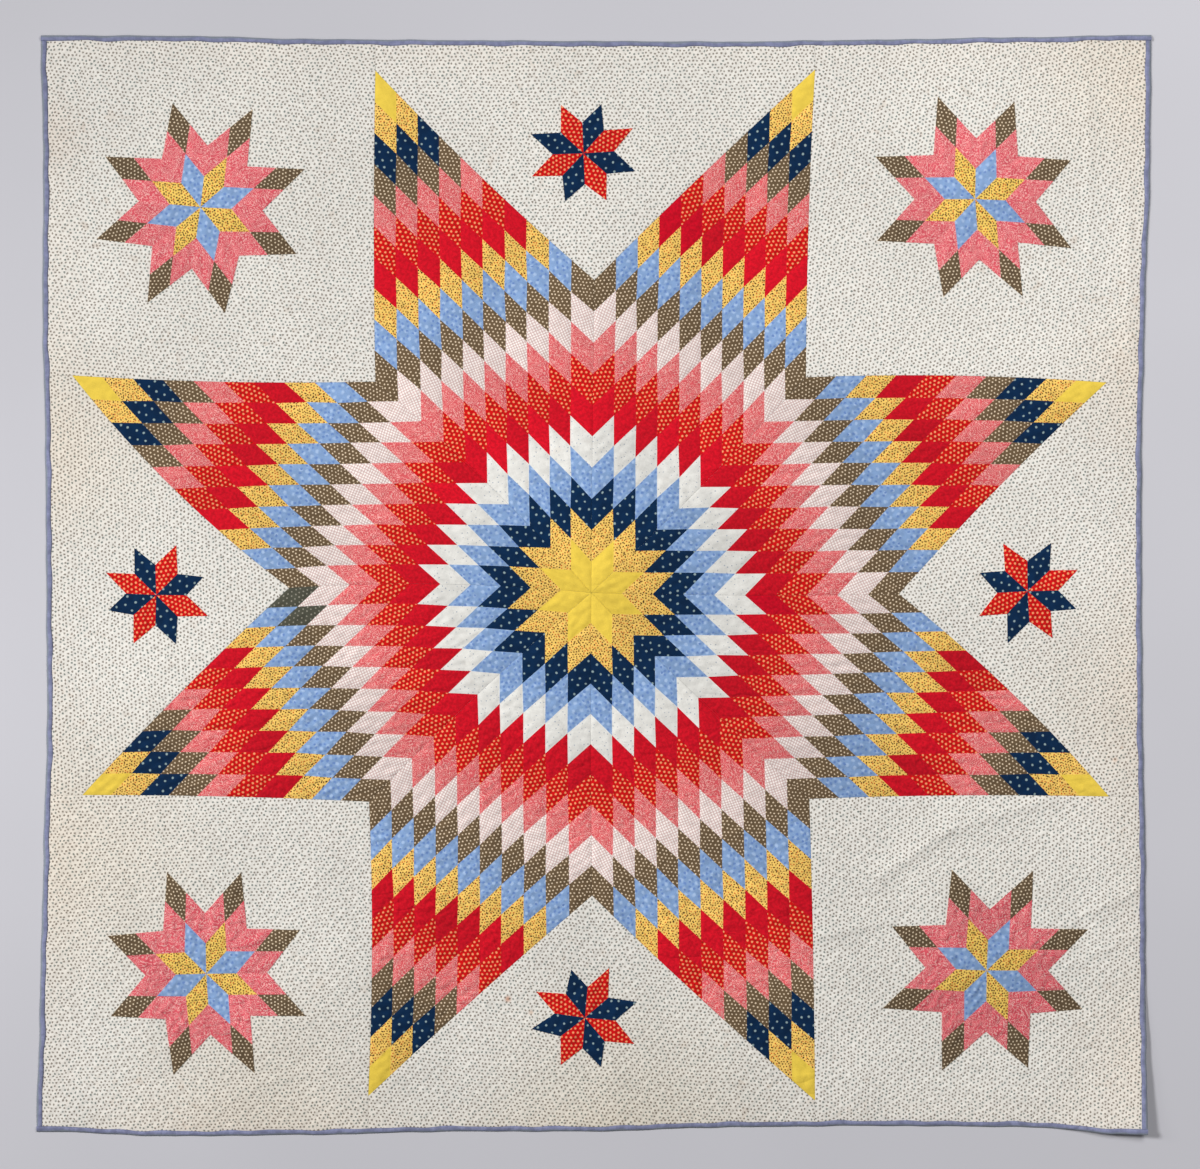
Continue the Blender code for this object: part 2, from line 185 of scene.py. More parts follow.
APPLIED_STARS = (
    AppliedPlan("side_star_right", 910, -12, 1,
                (23, 64, 117, 159, 207, 249, 298, 340),
                (114, 113, 112, 108, 114, 117, 111, 109), (Cloth.RED_DOT, Cloth.NAVY)),
    AppliedPlan("corner_star_top_right", 800, 811, 2,
                (22, 68, 110, 157, 203, 252, 296, 333),
                (217, 220, 229, 228, 224, 216, 227, 227), (Cloth.AMBER, Cloth.BLUE)),
    AppliedPlan("side_star_top", -22, 907, 1,
                (27, 70, 115, 160, 204, 249, 296, 341),
                (116, 110, 112, 118, 119, 108, 109, 115), (Cloth.RED_DOT, Cloth.NAVY)),
    AppliedPlan("corner_star_top_left", -826, 794, 2,
                (20, 62, 105, 152, 197, 241, 283, 334),
                (233, 233, 226, 226, 228, 229, 228, 224), (Cloth.BLUE, Cloth.AMBER)),
    AppliedPlan("side_star_left", -919, -20, 1,
                (21, 68, 115, 156, 198, 245, 292, 338),
                (106, 113, 109, 115, 105, 112, 111, 117), (Cloth.NAVY, Cloth.RED_DOT)),
    AppliedPlan("corner_star_bottom_left", -814, -815, 2,
                (25, 71, 111, 159, 204, 252, 296, 337),
                (217, 225, 229, 222, 219, 223, 232, 227), (Cloth.BLUE, Cloth.AMBER)),
    AppliedPlan("side_star_bottom", -19, -907, 1,
                (17, 64, 106, 152, 192, 243, 288, 332),
                (114, 116, 105, 116, 115, 111, 109, 117), (Cloth.NAVY, Cloth.RED_DOT)),
    AppliedPlan("corner_star_bottom_right", 824, -808, 2,
                (22, 65, 109, 155, 200, 246, 293, 338),
                (230, 231, 224, 219, 232, 230, 222, 217), (Cloth.AMBER, Cloth.BLUE), -1.6),
)
PANELS = (
    PanelPlan("side_triangle_right", 45, 135, 8),
    PanelPlan("corner_square_top_right", 52, 128, 20),
    PanelPlan("side_triangle_top", 45, 135, 0),
    PanelPlan("corner_square_top_left", 45, 135, -6),
    PanelPlan("side_triangle_left", 45, 135, 92),
    PanelPlan("corner_square_bottom_left", 45, 135, 3),
    PanelPlan("side_triangle_bottom", 45, 135, -4),
    PanelPlan("corner_square_bottom_right", 45, 135, 86),
)
RING_CLOTHS = (
    Cloth.YELLOW, Cloth.GOLD, Cloth.NAVY, Cloth.BLUE, Cloth.WHITE, Cloth.RED, Cloth.RED_DOT,
    Cloth.PINK, Cloth.CHECK, Cloth.BROWN, Cloth.BLUE, Cloth.GOLD, Cloth.RED, Cloth.RED_DOT,
    Cloth.PINK, Cloth.BROWN, Cloth.NAVY, Cloth.GOLD, Cloth.YELLOW,
)

# Single diamonds cut from another cloth than their row: star point, place on its first side and
# place on its second side, all counted from 0
ODD_DIAMONDS: dict[tuple[int, int, int], Cloth] = {
    (1, 3, 9): Cloth.CRIMSON,
    (1, 4, 8): Cloth.CRIMSON,
    (7, 0, 5): Cloth.CRIMSON,
    (4, 9, 0): Cloth.CHARCOAL,
    (4, 8, 1): Cloth.CHARCOAL,
}

# Broad soft folds of the loose cloth, left out under the applied stars
FOLDS = (
    Fold(601, -610, 746, -505, 3.0, 30),
    Fold(746, -505, 947, -450, 2.5, 30),
    Fold(487, -732, 600, -700, 2.0, 28),
    Fold(1000, -705, 1138, -635, 2.2, 28),
    Fold(1035, 988, 1035, 705, 2.0, 26),
    Fold(1120, 831, 1120, 505, 1.8, 26),
    Fold(-588, -587, -588, -700, 1.6, 26),
    Fold(-600, 560, -476, 600, 1.6, 26),
)

# Small creases, which also run through the applied stars
CREASES = (
    Fold(-594, -60, -592, -440, -0.9, 6),
    Fold(580, 430, 583, 70, -0.9, 6),
    Fold(470, -560, 601, -612, 1.3, 9),
    Fold(601, -612, 746, -512, 1.7, 9),
    Fold(746, -512, 955, -448, 1.5, 10),
    Fold(560, -655, 640, -650, -1.2, 8),
    Fold(473, -738, 620, -703, 1.5, 9),
    Fold(995, -708, 1140, -640, 1.5, 9),
    Fold(995, -803, 1136, -730, 1.4, 9),
    Fold(488, -790, 600, -805, 1.1, 9),
    Fold(492, -850, 590, -868, -1.1, 9),
    Fold(560, -980, 900, -1010, 0.9, 14),
    Fold(700, -1045, 1010, -1085, 1.0, 12),
    Fold(-1080, -600, -980, -640, 1.0, 12),
    Fold(-720, -1050, -560, -1010, 1.0, 12),
    Fold(-260, -1010, 240, -1030, 0.9, 16),
    Fold(940, 480, 1120, 560, 1.0, 14),
    Fold(1036, 1050, 1040, 670, 1.3, 8),
    Fold(1122, 840, 1120, 500, 1.1, 8),
    Fold(-1110, 120, -1000, 260, 0.9, 14),
    Fold(-588, -600, -590, -720, 1.0, 8),
    Fold(-600, 552, -470, 590, 0.9, 8),
)

# The line from which the bottom right corner curls up
LIFT_START_MM = (1158.0, -786.0)
LIFT_END_MM = (937.0, -1150.0)


def smooth(share: np.ndarray) -> np.ndarray:
    """Ease from 0 to 1 with level ends.

    Args:
        share: How far along each value is; outside 0 to 1 it is held at the ends.

    Returns:
        The eased shares.
    """
    share = np.clip(share, 0.0, 1.0)
    return share * share * (3 - 2 * share)


def distance_to_line(points: np.ndarray, start: np.ndarray, end: np.ndarray) -> np.ndarray:
    """Measure how far points lie from one straight line.

    Args:
        points: Points in the plane, one a row.
        start: Start of the line.
        end: End of the line.

    Returns:
        The shortest distance of each point.
    """
    run = end - start
    share = np.clip((points - start) @ run / (run @ run), 0.0, 1.0)
    return np.linalg.norm(points - start - share[:, None] * run, axis=1)


def distance_to_loop(points: np.ndarray, loop: np.ndarray) -> np.ndarray:
    """Measure how far points lie from a closed loop.

    Args:
        points: Points in the plane, one a row.
        loop: Corners of the loop, one a row.

    Returns:
        The shortest distance of each point.
    """
    ends = np.roll(loop, -1, axis=0)
    best = np.full(len(points), np.inf)
    for start, end in zip(loop, ends):
        best = np.minimum(best, distance_to_line(points, start, end))
    return best


def is_inside(points: np.ndarray, loop: np.ndarray) -> np.ndarray:
    """Tell which points lie inside a closed loop.

    Args:
        points: Points in the plane, one a row.
        loop: Corners of the loop, one a row.

    Returns:
        True for each point inside.
    """
    hit = np.zeros(len(points), bool)
    x, y = points[:, 0], points[:, 1]
    for (x0, y0), (x1, y1) in zip(loop, np.roll(loop, -1, axis=0)):
        if y0 == y1:
            continue
        crosses = (y0 > y) != (y1 > y)
        hit ^= crosses & (x < x0 + (x1 - x0) * (y - y0) / (y1 - y0))
    return hit


def draw_in(loop: np.ndarray, inset: float) -> np.ndarray:
    """Draw an anticlockwise loop in, keeping its number of corners.

    Args:
        loop: Corners of the loop, one a row.
        inset: How far to draw it in.

    Returns:
        The corners of the smaller loop.
    """
    behind = loop - np.roll(loop, 1, axis=0)
    behind /= np.linalg.norm(behind, axis=1)[:, None]
    ahead = np.roll(behind, -1, axis=0)
    first = np.stack([-behind[:, 1], behind[:, 0]], 1)
    second = np.stack([-ahead[:, 1], ahead[:, 0]], 1)
    return loop + (first + second) * (inset / (1 + (first * second).sum(1)))[:, None]


def spaced(loop: np.ndarray, step: float) -> np.ndarray:
    """Put more points on a closed loop.

    Args:
        loop: Corners of the loop, one a row.
        step: The longest distance wanted between neighbours.

    Returns:
        The loop with its corners and evenly spaced points between them.
    """
    rows = []
    for start, end in zip(loop, np.roll(loop, -1, axis=0)):
        count = max(1, math.ceil(np.linalg.norm(end - start) / step))
        rows.append(start + (end - start) * (np.arange(count) / count)[:, None])
    return np.concatenate(rows)


def unit_grid(size: int) -> tuple[np.ndarray, np.ndarray]:
    """Places from 0 to 1 along the first and the second side of a square grid.

    Args:
        size: How many steps each side has.

    Returns:
        The places along the first side, and those along the second.
    """
    steps = np.arange(size + 1) / size
    first, second = np.meshgrid(steps, steps, indexing="ij")
    return first, second


def grid_quads(number: np.ndarray) -> np.ndarray:
    """Faces between the neighbours in a grid of point numbers."""
    corners = [number[:-1, :-1], number[1:, :-1], number[1:, 1:], number[:-1, 1:]]
    return np.stack(corners, -1).reshape(-1, 4)


def in_diamond(corners: tuple[np.ndarray, ...], u: np.ndarray, v: np.ndarray) -> np.ndarray:
    """Find places between the four corners of a straight-sided diamond.

    Args:
        corners: Its first corner, the ends of its first and second side, and its tip.
        u: How far along the first side, from 0 to 1.
        v: How far along the second side, from 0 to 1.

    Returns:
        The points in the plane.
    """
    middle, near, far, tip = corners
    return middle * (1 - u) * (1 - v) + near * u * (1 - v) + far * (1 - u) * v + tip * u * v


@dataclass(frozen=True)
class QuiltPlan:
    """The quilt's outline, seams and heights, close to those of its solids."""

    gap: float = 0.0003
    seam_thickness: float = 0.0030
    binding_width: float = 0.012
    corner_lift: float = 0.024
    lift_power: float = 1.5
    edge_steps: int = 32
    flat_margin: float = 0.060
    valley_share: float = 0.569
    ripples: int = 26
    ripple_lengths: tuple[float, float] = (0.07, 0.26)
    ripple_spread: float = 2.4
    ripple_top: float = 0.35
    calm_ripple: float = 0.00022
    full_ripple: float = 0.00075
    puckers: int = 16
    pucker_lengths: tuple[float, float] = (0.016, 0.028)
    pucker_patches: tuple[float, float] = (0.16, 0.5)
    pucker_top: float = 0.45
    calm_pucker: float = 0.00042
    full_pucker: float = 0.00078
    pucker_limit: float = 0.0019
    bottom_reach: float = 1.3
    seam_sway: float = 0.0014
    edge_sway: float = 0.0008
    sway_cuts: int = 6
    sway_fade: float = 1.2
    corner_steps: float = 0.4
    cut_clearance: float = 0.05

    def edge_reach(self, side: Side, step: int) -> float:
        """Distance from the quilt's middle to one side.

        Args:
            side: The side.
            step: A whole number of steps along it.

        Returns:
            The distance.
        """
        reach = EDGE_REACH_MM[side]
        if step <= 1 or step >= self.edge_steps - 1:
            return reach[0 if step <= 1 else -1] * MM
        station = step * (len(reach) - 1) / self.edge_steps
        row = int(station)
        share = float(smooth(np.array(station - row)))
        return (reach[row] + (reach[row + 1] - reach[row]) * share) * MM

    def edge_span(self, side: Side) -> tuple[float, float]:
        """Where one side starts and ends, measured along it from its middle.

        Args:
            side: The side.

        Returns:
            Its start and its end.
        """
        before = EDGE_REACH_MM[Side((side.value - 1) % 4)]
        after = EDGE_REACH_MM[Side((side.value + 1) % 4)]
        return -before[-1] * MM, after[0] * MM

    def edge_point(self, side: Side, step: float, inset: float = 0.0) -> np.ndarray:
        """Find a point on the quilt's edge or inside it.

        Args:
            side: The side.
            step: How many steps along it.
            inset: How far in from the edge.

        Returns:
            The point in the plane.
        """
        start, end = self.edge_span(side)
        low = min(int(step), self.edge_steps - 1)
        near, far = self.edge_reach(side, low), self.edge_reach(side, low + 1)
        out = near + (far - near) * (step - low) - inset
        out += self.edge_sway * self.sway(side, step, 1.3)
        along = start + (end - start) * step / self.edge_steps
        along = min(max(along, start + inset), end - inset)
        turned = ((out, along), (-along, out), (-out, -along), (along, -out))
        return np.array(turned[side.value])

    def corner_fade(self, step: float) -> float:
        """Share from 0 at the corners of the quilt to 1 a little way along a side."""
        return float(smooth(np.array(min(step, self.edge_steps - step) / self.sway_fade)))

    def sway(self, side: Side, step: float, start: float) -> float:
        """Wavering of a hand-sewn line along one side, 0 at the corners.

        Args:
            side: The side.
            step: How many steps along it.
            start: Tells one line's wavering from another's.

        Returns:
            A number between about -1 and 1.
        """
        phase = start + 1.9 * side.value
        wave = math.sin(2.3 * step + phase) + math.sin(3.9 * step + 2 * phase)
        wave += 0.7 * math.sin(6.1 * step + 3 * phase)
        return wave / 2.2 * self.corner_fade(step)

    def seam_inset(self, side: Side, step: float) -> float:
        """How far in the binding reaches at a place along one side.

        Args:
            side: The side.
            step: How many steps along it.

        Returns:
            The inset.
        """
        narrower = BINDING_REACH_MM[side] * MM - self.binding_width
        sway = self.seam_sway * self.sway(side, step, 0.2)
        return self.binding_width + narrower * self.corner_fade(step) + sway

    def seam_run(self, side: Side, start: float, end: float) -> list[np.ndarray]:
        """Points of the ground's edge along one side, both ends included.

        Args:
            side: The side.
            start: How many steps along it they start.
            end: How many steps along it they end.

        Returns:
            The points in order.
        """
        cuts = self.sway_cuts
        stops = np.arange(math.floor(start * cuts) + 1, math.ceil(end * cuts)) / cuts
        low = max(start + self.cut_clearance, self.corner_steps)
        high = min(end - self.cut_clearance, self.edge_steps - self.corner_steps)
        stops = stops[(stops > low) & (stops < high)]
        return [self.edge_point(side, stop, self.seam_inset(side, stop) + self.gap / 2)
                for stop in [start, *stops.tolist(), end]]

    def lift_line(self) -> tuple[np.ndarray, np.ndarray, np.ndarray]:
        """Start of the line where the corner curls up, the way along it and the way out.

        Returns:
            The start, the way along the line and the way out.
        """
        start = np.array(LIFT_START_MM) * MM
        along = np.array(LIFT_END_MM) * MM - start
        along /= np.linalg.norm(along)
        return start, along, np.array([-along[1], along[0]])

    def lift(self, points: np.ndarray) -> np.ndarray:
        """Height of the quilt's back, which curls up at the bottom right corner.

        Args:
            points: Points in the plane, one a row.

        Returns:
            The height at each point.
        """
        start, _, outward = self.lift_line()
        full = (self.edge_point(Side.RIGHT, 0) - start) @ outward
        past = np.maximum((points - start) @ outward / full, 0.0)
        return self.corner_lift * past**self.lift_power

    def fold_height(self, points: np.ndarray, folds: tuple[Fold, ...]) -> np.ndarray:
        """Add up soft ridges and troughs.

        Args:
            points: Points in the plane, one a row.
            folds: The ridges and troughs.

        Returns:
            The height that they add at each point.
        """
        total = np.zeros(len(points))
        for fold in folds:
            start, end = np.array([fold.x0, fold.y0]) * MM, np.array([fold.x1, fold.y1]) * MM
            away = distance_to_line(points, start, end) / (fold.half_width * MM)
            total += fold.rise * MM * np.exp(-away * away)
        return total

    def calm(self, points: np.ndarray) -> np.ndarray:
        """Share from 0 under the applied stars to 1 well away from them.

        Args:
            points: Points in the plane, one a row.

        Returns:
            The share at each point.
        """
        share = np.ones(len(points))
        for star in APPLIED_STARS:
            middle = np.array([star.x, star.y]) * MM
            away = np.linalg.norm(points - middle, axis=1) - max(star.reaches) * MM
            share *= smooth(away / self.flat_margin)
        return share

    def growing(self, points: np.ndarray, start: float, calm: float, full: float) -> np.ndarray:
        """Strength of the waves, which grows towards the bottom of the quilt.

        Args:
            points: Points in the plane, one a row.
            start: How high up on the quilt it starts to grow.
            calm: The strength above that.
            full: The strength at the bottom.

        Returns:
            The strength at each point.
        """
        return calm + (full - calm) * smooth((start - points[:, 1]) / self.bottom_reach)

    def ripple(self, points: np.ndarray) -> np.ndarray:
        """Slight waves of the loose cloth, stronger towards the bottom.

        Args:
            points: Points in the plane, one a row.

        Returns:
            Their height at each point.
        """
        draw = np.random.default_rng(11)
        total = np.zeros(len(points))
        for _ in range(self.ripples):
            wavelength = draw.uniform(*self.ripple_lengths)
            angle = draw.uniform(0, math.tau)
            phase = draw.uniform(0, math.tau)
            way = np.array([math.cos(angle), math.sin(angle)]) * math.tau / wavelength
            total += np.sin(points @ way + phase) * wavelength / self.ripple_lengths[1]
        strength = self.growing(points, self.ripple_top, self.calm_ripple, self.full_ripple)
        return total / self.ripple_spread * strength

    def pucker(self, points: np.ndarray, lie: float = 0.0) -> np.ndarray:
        """Short wrinkles of the pieced patches, stronger towards the bottom.

        Args:
            points: Points in the plane, one a row.
            lie: How far the wrinkles are turned from level, in radians.

        Returns:
            Their height at each point.
        """
        draw = np.random.default_rng(23)
        total = np.zeros(len(points))
        for _ in range(self.puckers):
            wavelength = draw.uniform(*self.pucker_lengths)
            angle = math.pi / 2 + lie + draw.normal(0, 0.4)
            length, turn = draw.uniform(*self.pucker_patches), draw.uniform(0, math.tau)
            way = np.array([math.cos(angle), math.sin(angle)]) * math.tau / wavelength
            slow = np.array([math.cos(turn), math.sin(turn)]) * math.tau / length
            wave = np.sin(points @ way + draw.uniform(0, math.tau))
            total += wave * np.maximum(np.sin(points @ slow + draw.uniform(0, math.tau)), 0)
        strength = self.growing(points, self.pucker_top, self.calm_pucker, self.full_pucker)
        height = total * strength
        return self.pucker_limit * np.tanh(height / self.pucker_limit)

    def face(self, points: np.ndarray) -> np.ndarray:
        """Height of the face along its seams, folds and ripples included.

        Args:
            points: Points in the plane, one a row.

        Returns:
            The height at each point.
        """
        folded = self.fold_height(points, FOLDS) * self.calm(points)
        return (self.lift(points) + self.seam_thickness + folded
                + self.fold_height(points, CREASES) + self.ripple(points))

    def corner(self, index: int) -> np.ndarray:
        """Inner corner where a star point's first side ends."""
        arm = STAR_ARMS[index % ARMS]
        return np.array([arm.corner_x, arm.corner_y]) * MM

    def tip(self, index: int) -> np.ndarray:
        """Tip of a star point."""
        arm = STAR_ARMS[index % ARMS]
        return np.array([arm.tip_x, arm.tip_y]) * MM

    @staticmethod
    def lean(start: np.ndarray, end: np.ndarray, share: np.ndarray, bow: float) -> np.ndarray:
        """How far a bowed seam lies from the straight line.

        Args:
            start: Start of the seam.
            end: End of the seam.
            share: How far along the seam, for each point.
            bow: How far its middle leans to the right, in millimetres.

        Returns:
            The offset of each point.
        """
        run = end - start
        right = np.array([run[1], -run[0]]) / np.linalg.norm(run)
        return right * (bow * MM * 4 * share * (1 - share))[..., None]

    def star_place(self, index: int, first: np.ndarray, second: np.ndarray) -> np.ndarray:
        """Find points in a star point.

        Args:
            index: Which star point, from 0.
            first: How far along its first side, from 0 to 1.
            second: How far along its second side, from 0 to 1.

        Returns:
            The points in the plane.
        """
        arm, after = STAR_ARMS[index % ARMS], STAR_ARMS[(index + 1) % ARMS]
        middle = np.array(STAR_MIDDLE_MM) * MM
        near, far, tip = self.corner(index), self.corner(index + 1), self.tip(index)
        u, v = first[..., None], second[..., None]
        flat = in_diamond((middle, near, far, tip), u, v)
        flat = flat + self.lean(middle, near, first, arm.seam_bow) * (1 - v)
        flat = flat + self.lean(far, tip, first, arm.second_bow) * v
        flat = flat + self.lean(middle, far, second, after.seam_bow) * (1 - u)
        return flat + self.lean(near, tip, second, arm.first_bow) * u

    def edge_place(self, index: int) -> tuple[Side, float]:
        """Side straight out from a star point's tip, and how many steps along it.

        Args:
            index: Which star point, from 0.

        Returns:
            The side, and the number of steps.
        """
        side = Side(((index % ARMS + 1) // 2) % 4)
        x, y = self.tip(index)
        along = (y, -x, -y, x)[side.value]
        start, end = self.edge_span(side)
        return side, self.edge_steps * (along - start) / (end - start)

    def ground_outline(self, index: int, steps: int) -> np.ndarray:
        """Outline of the panel of ground in one inner corner of the big star.

        Args:
            index: Which inner corner, from 0.
            steps: How many points each seam with a star point has.

        Returns:
            The corners of the outline, anticlockwise.
        """
        out, one = np.arange(steps + 1) / steps, np.ones(steps + 1)
        side, step = self.edge_place(index - 1)
        end_side, end_step = self.edge_place(index)
        if side is end_side:
            edge = self.seam_run(side, step, end_step)
        else:
            edge = self.seam_run(side, step, float(self.edge_steps))
            edge += self.seam_run(end_side, 0.0, end_step)[1:]
        there = self.star_place(index - 1, out, one)
        back = self.star_place(index, one[1:], out[:0:-1])
        return draw_in(np.concatenate([there, np.array(edge), back]), self.gap / 2)

    def applied_corners(self, star: AppliedPlan) -> tuple[np.ndarray, np.ndarray]:
        """Tips and valleys of an applied star.

        Args:
            star: The applied star.

        Returns:
            The tips, and the valleys, each before the tip of the same number.
        """
        middle = np.array([star.x, star.y]) * MM
        angles = np.radians(np.array(star.angles, float))
        tips = np.stack([np.cos(angles), np.sin(angles)], 1) * np.array(star.reaches)[:, None] * MM
        before = np.roll(angles, 1)
        before[0] -= math.tau
        between = (before + angles) / 2
        reach = self.valley_share * float(np.mean(star.reaches)) * MM
        valleys = np.stack([np.cos(between), np.sin(between)], 1) * reach
        return middle + tips, middle + valleys


def fill_flat(points: np.ndarray, rim_count: int) -> np.ndarray:
    """Fill a closed outline with triangles.

    Args:
        points: Points in the plane, the rim's first and in order, then those inside it.
        rim_count: How many of them make the rim.

    Returns:
        The triangles as rows of three point numbers.
    """
    flat = [Vector(point) for point in points.tolist()]
    edges = [(step, (step + 1) % rim_count) for step in range(rim_count)]
    filled = geometry.delaunay_2d_cdt(flat, edges, [], 0, 1e-7, True)
    source = np.array([numbers[0] for numbers in filled[3]])
    triangles = source[np.array(filled[2])]
    exact = np.array(flat, float)
    middles = exact[triangles].mean(1)
    on_rim = (triangles < rim_count).all(1)
    keep = np.ones(len(triangles), bool)
    keep[on_rim] = is_inside(middles[on_rim], exact[:rim_count])
    return triangles[keep]


@dataclass
class Skin:
    """The gathered faces of one closed piece of cloth.

    Attributes:
        points: Its points, one a row.
        faces: Its faces as lists of point numbers.
        cloths: The cloths it may show, in the order of its material slots.
        cloth: The slot of each face.
        tone: How much lighter or darker each face's patch is, from -1 to 1.
        print_turn: The lie of the print on each face, in radians.
        print_shift: Where the print starts on each face.
        quilting: Quilting coordinates of each point, in pitches, or None.
    """

    points: np.ndarray
    faces: list[list[int]]
    cloths: list[Cloth]
    cloth: np.ndarray
    tone: np.ndarray
    print_turn: np.ndarray
    print_shift: np.ndarray
    quilting: np.ndarray | None = None

    def link(self, name: str, works: ClothWorks) -> bpy.types.Object:
        """Make the piece as an object.

        Args:
            name: The object's name.
            works: Where its materials come from.

        Returns:
            The linked object.
        """
        mesh = bpy.data.meshes.new(name)
        mesh.from_pydata(self.points.tolist(), [], self.faces)
        for cloth in self.cloths:
            mesh.materials.append(works.material(cloth))
        mesh.polygons.foreach_set("material_index", self.cloth.astype(np.int32))
        mesh.polygons.foreach_set("use_smooth", np.ones(len(self.faces), bool))
        corners = np.concatenate([np.array(face) for face in self.faces])
        owner = np.repeat(np.arange(len(self.faces)), [len(face) for face in self.faces])
        flat = self.points[corners, :2]
        turn = self.print_turn[owner]
        cos, sin = np.cos(turn), np.sin(turn)
        turned = np.stack([flat[:, 0] * cos + flat[:, 1] * sin,
                           flat[:, 1] * cos - flat[:, 0] * sin], 1)
        self.add_uv(mesh, "print", turned + self.print_shift[owner])
        if self.quilting is not None:
            self.add_uv(mesh, "quilting", self.quilting[corners])
        tone = mesh.attributes.new("tone", "FLOAT", "FACE")
        tone.data.foreach_set("value", self.tone.astype(np.float32))
        mesh.set_sharp_from_angle(angle=math.radians(SHARP_DEGREES))
        mesh.update()
        item = bpy.data.objects.new(name, mesh)
        bpy.context.scene.collection.objects.link(item)
        return item

    @staticmethod
    def add_uv(mesh: bpy.types.Mesh, name: str, values: np.ndarray) -> None:
        """Store flat coordinates on the mesh.

        Args:
            mesh: The mesh.
            name: The name of the coordinates.
            values: One row for each face corner.
        """
        layer = mesh.uv_layers.new(name=name)
        layer.data.foreach_set("uv", values.astype(np.float32).ravel())


def close_skin(face_points: np.ndarray, face: np.ndarray, rim: np.ndarray, plan: QuiltPlan,
               back_inner: np.ndarray) -> tuple[np.ndarray, list[list[int]], int]:
    """Close the face of a piece with a back and walls.

    Args:
        face_points: Points of the face.
        face: Faces of the face, as rows of point numbers.
        rim: Numbers of the face's outline points, anticlockwise.
        plan: The quilt's plan.
        back_inner: Points of the underside inside its outline, in the plane.

    Returns:
        All points, all faces, and how many faces the face has.
    """
    flat = np.concatenate([face_points[rim, :2], back_inner])
    low = np.column_stack([flat, plan.lift(flat)])
    shift = len(face_points)
    back = fill_flat(flat, len(rim))[:, ::-1] + shift
    faces = face.tolist()
    count = len(faces)
    faces += back.tolist()
    for step in range(len(rim)):
        after = (step + 1) % len(rim)
        faces.append([shift + step, shift + after, int(rim[after]), int(rim[step])])
    return np.concatenate([face_points, low]), faces, count


@dataclass
class Piece:
    """One finished piece, with the solid it stands for, its slot, its size and what it lies on."""

    item: bpy.types.Object
    node: str
    slot: Slot
    flat: tuple[float, float] | None = None
    area: float | None = None
    rests_on: list[str] = field(default_factory=list)
    with_pieces: list[bpy.types.Object] = field(default_factory=list)

    def hand_over(self) -> None:
        """Attach the piece to its body, hide the solid that it stands for and log its faces."""
        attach(self.item, BODY)
        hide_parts(self.node)
        LOG.info("%s: %d faces", self.item.name, len(self.item.data.polygons))


def flat_size(points: np.ndarray) -> tuple[float, float]:
    """Width and length of the rectangle that flat points fill."""
    width, length = points.max(0) - points.min(0)
    return float(width), float(length)


def loop_area(loop: np.ndarray) -> float:
    """Area inside a closed loop."""
    after = np.roll(loop, -1, axis=0)
    return abs(float((loop[:, 0] * after[:, 1] - after[:, 0] * loop[:, 1]).sum())) / 2


def crown(share: np.ndarray, power: float) -> np.ndarray:
    """Rise of a puffed patch between two seams.

    Args:
        share: Place between the seams, from 0 at one to 1 at the other.
        power: How quickly it rises from the seams.

    Returns:
        The rise, 0 at the seams and 1 midway.
    """
    near = 2 * np.minimum(share, 1 - share)
    return 1 - (1 - np.clip(near, 0, 1)) ** power


def puffed(place: np.ndarray, power: float) -> np.ndarray:
    """Rise of a puffed patch between two pairs of seams.

    Args:
        place: Place between each pair, from 0 to 1, as the last axis.
        power: How quickly it rises from the seams.

    Returns:
        The rise, 0 at the seams and 1 in the middle.
    """
    return crown(place[..., 0], power) * crown(place[..., 1], power)


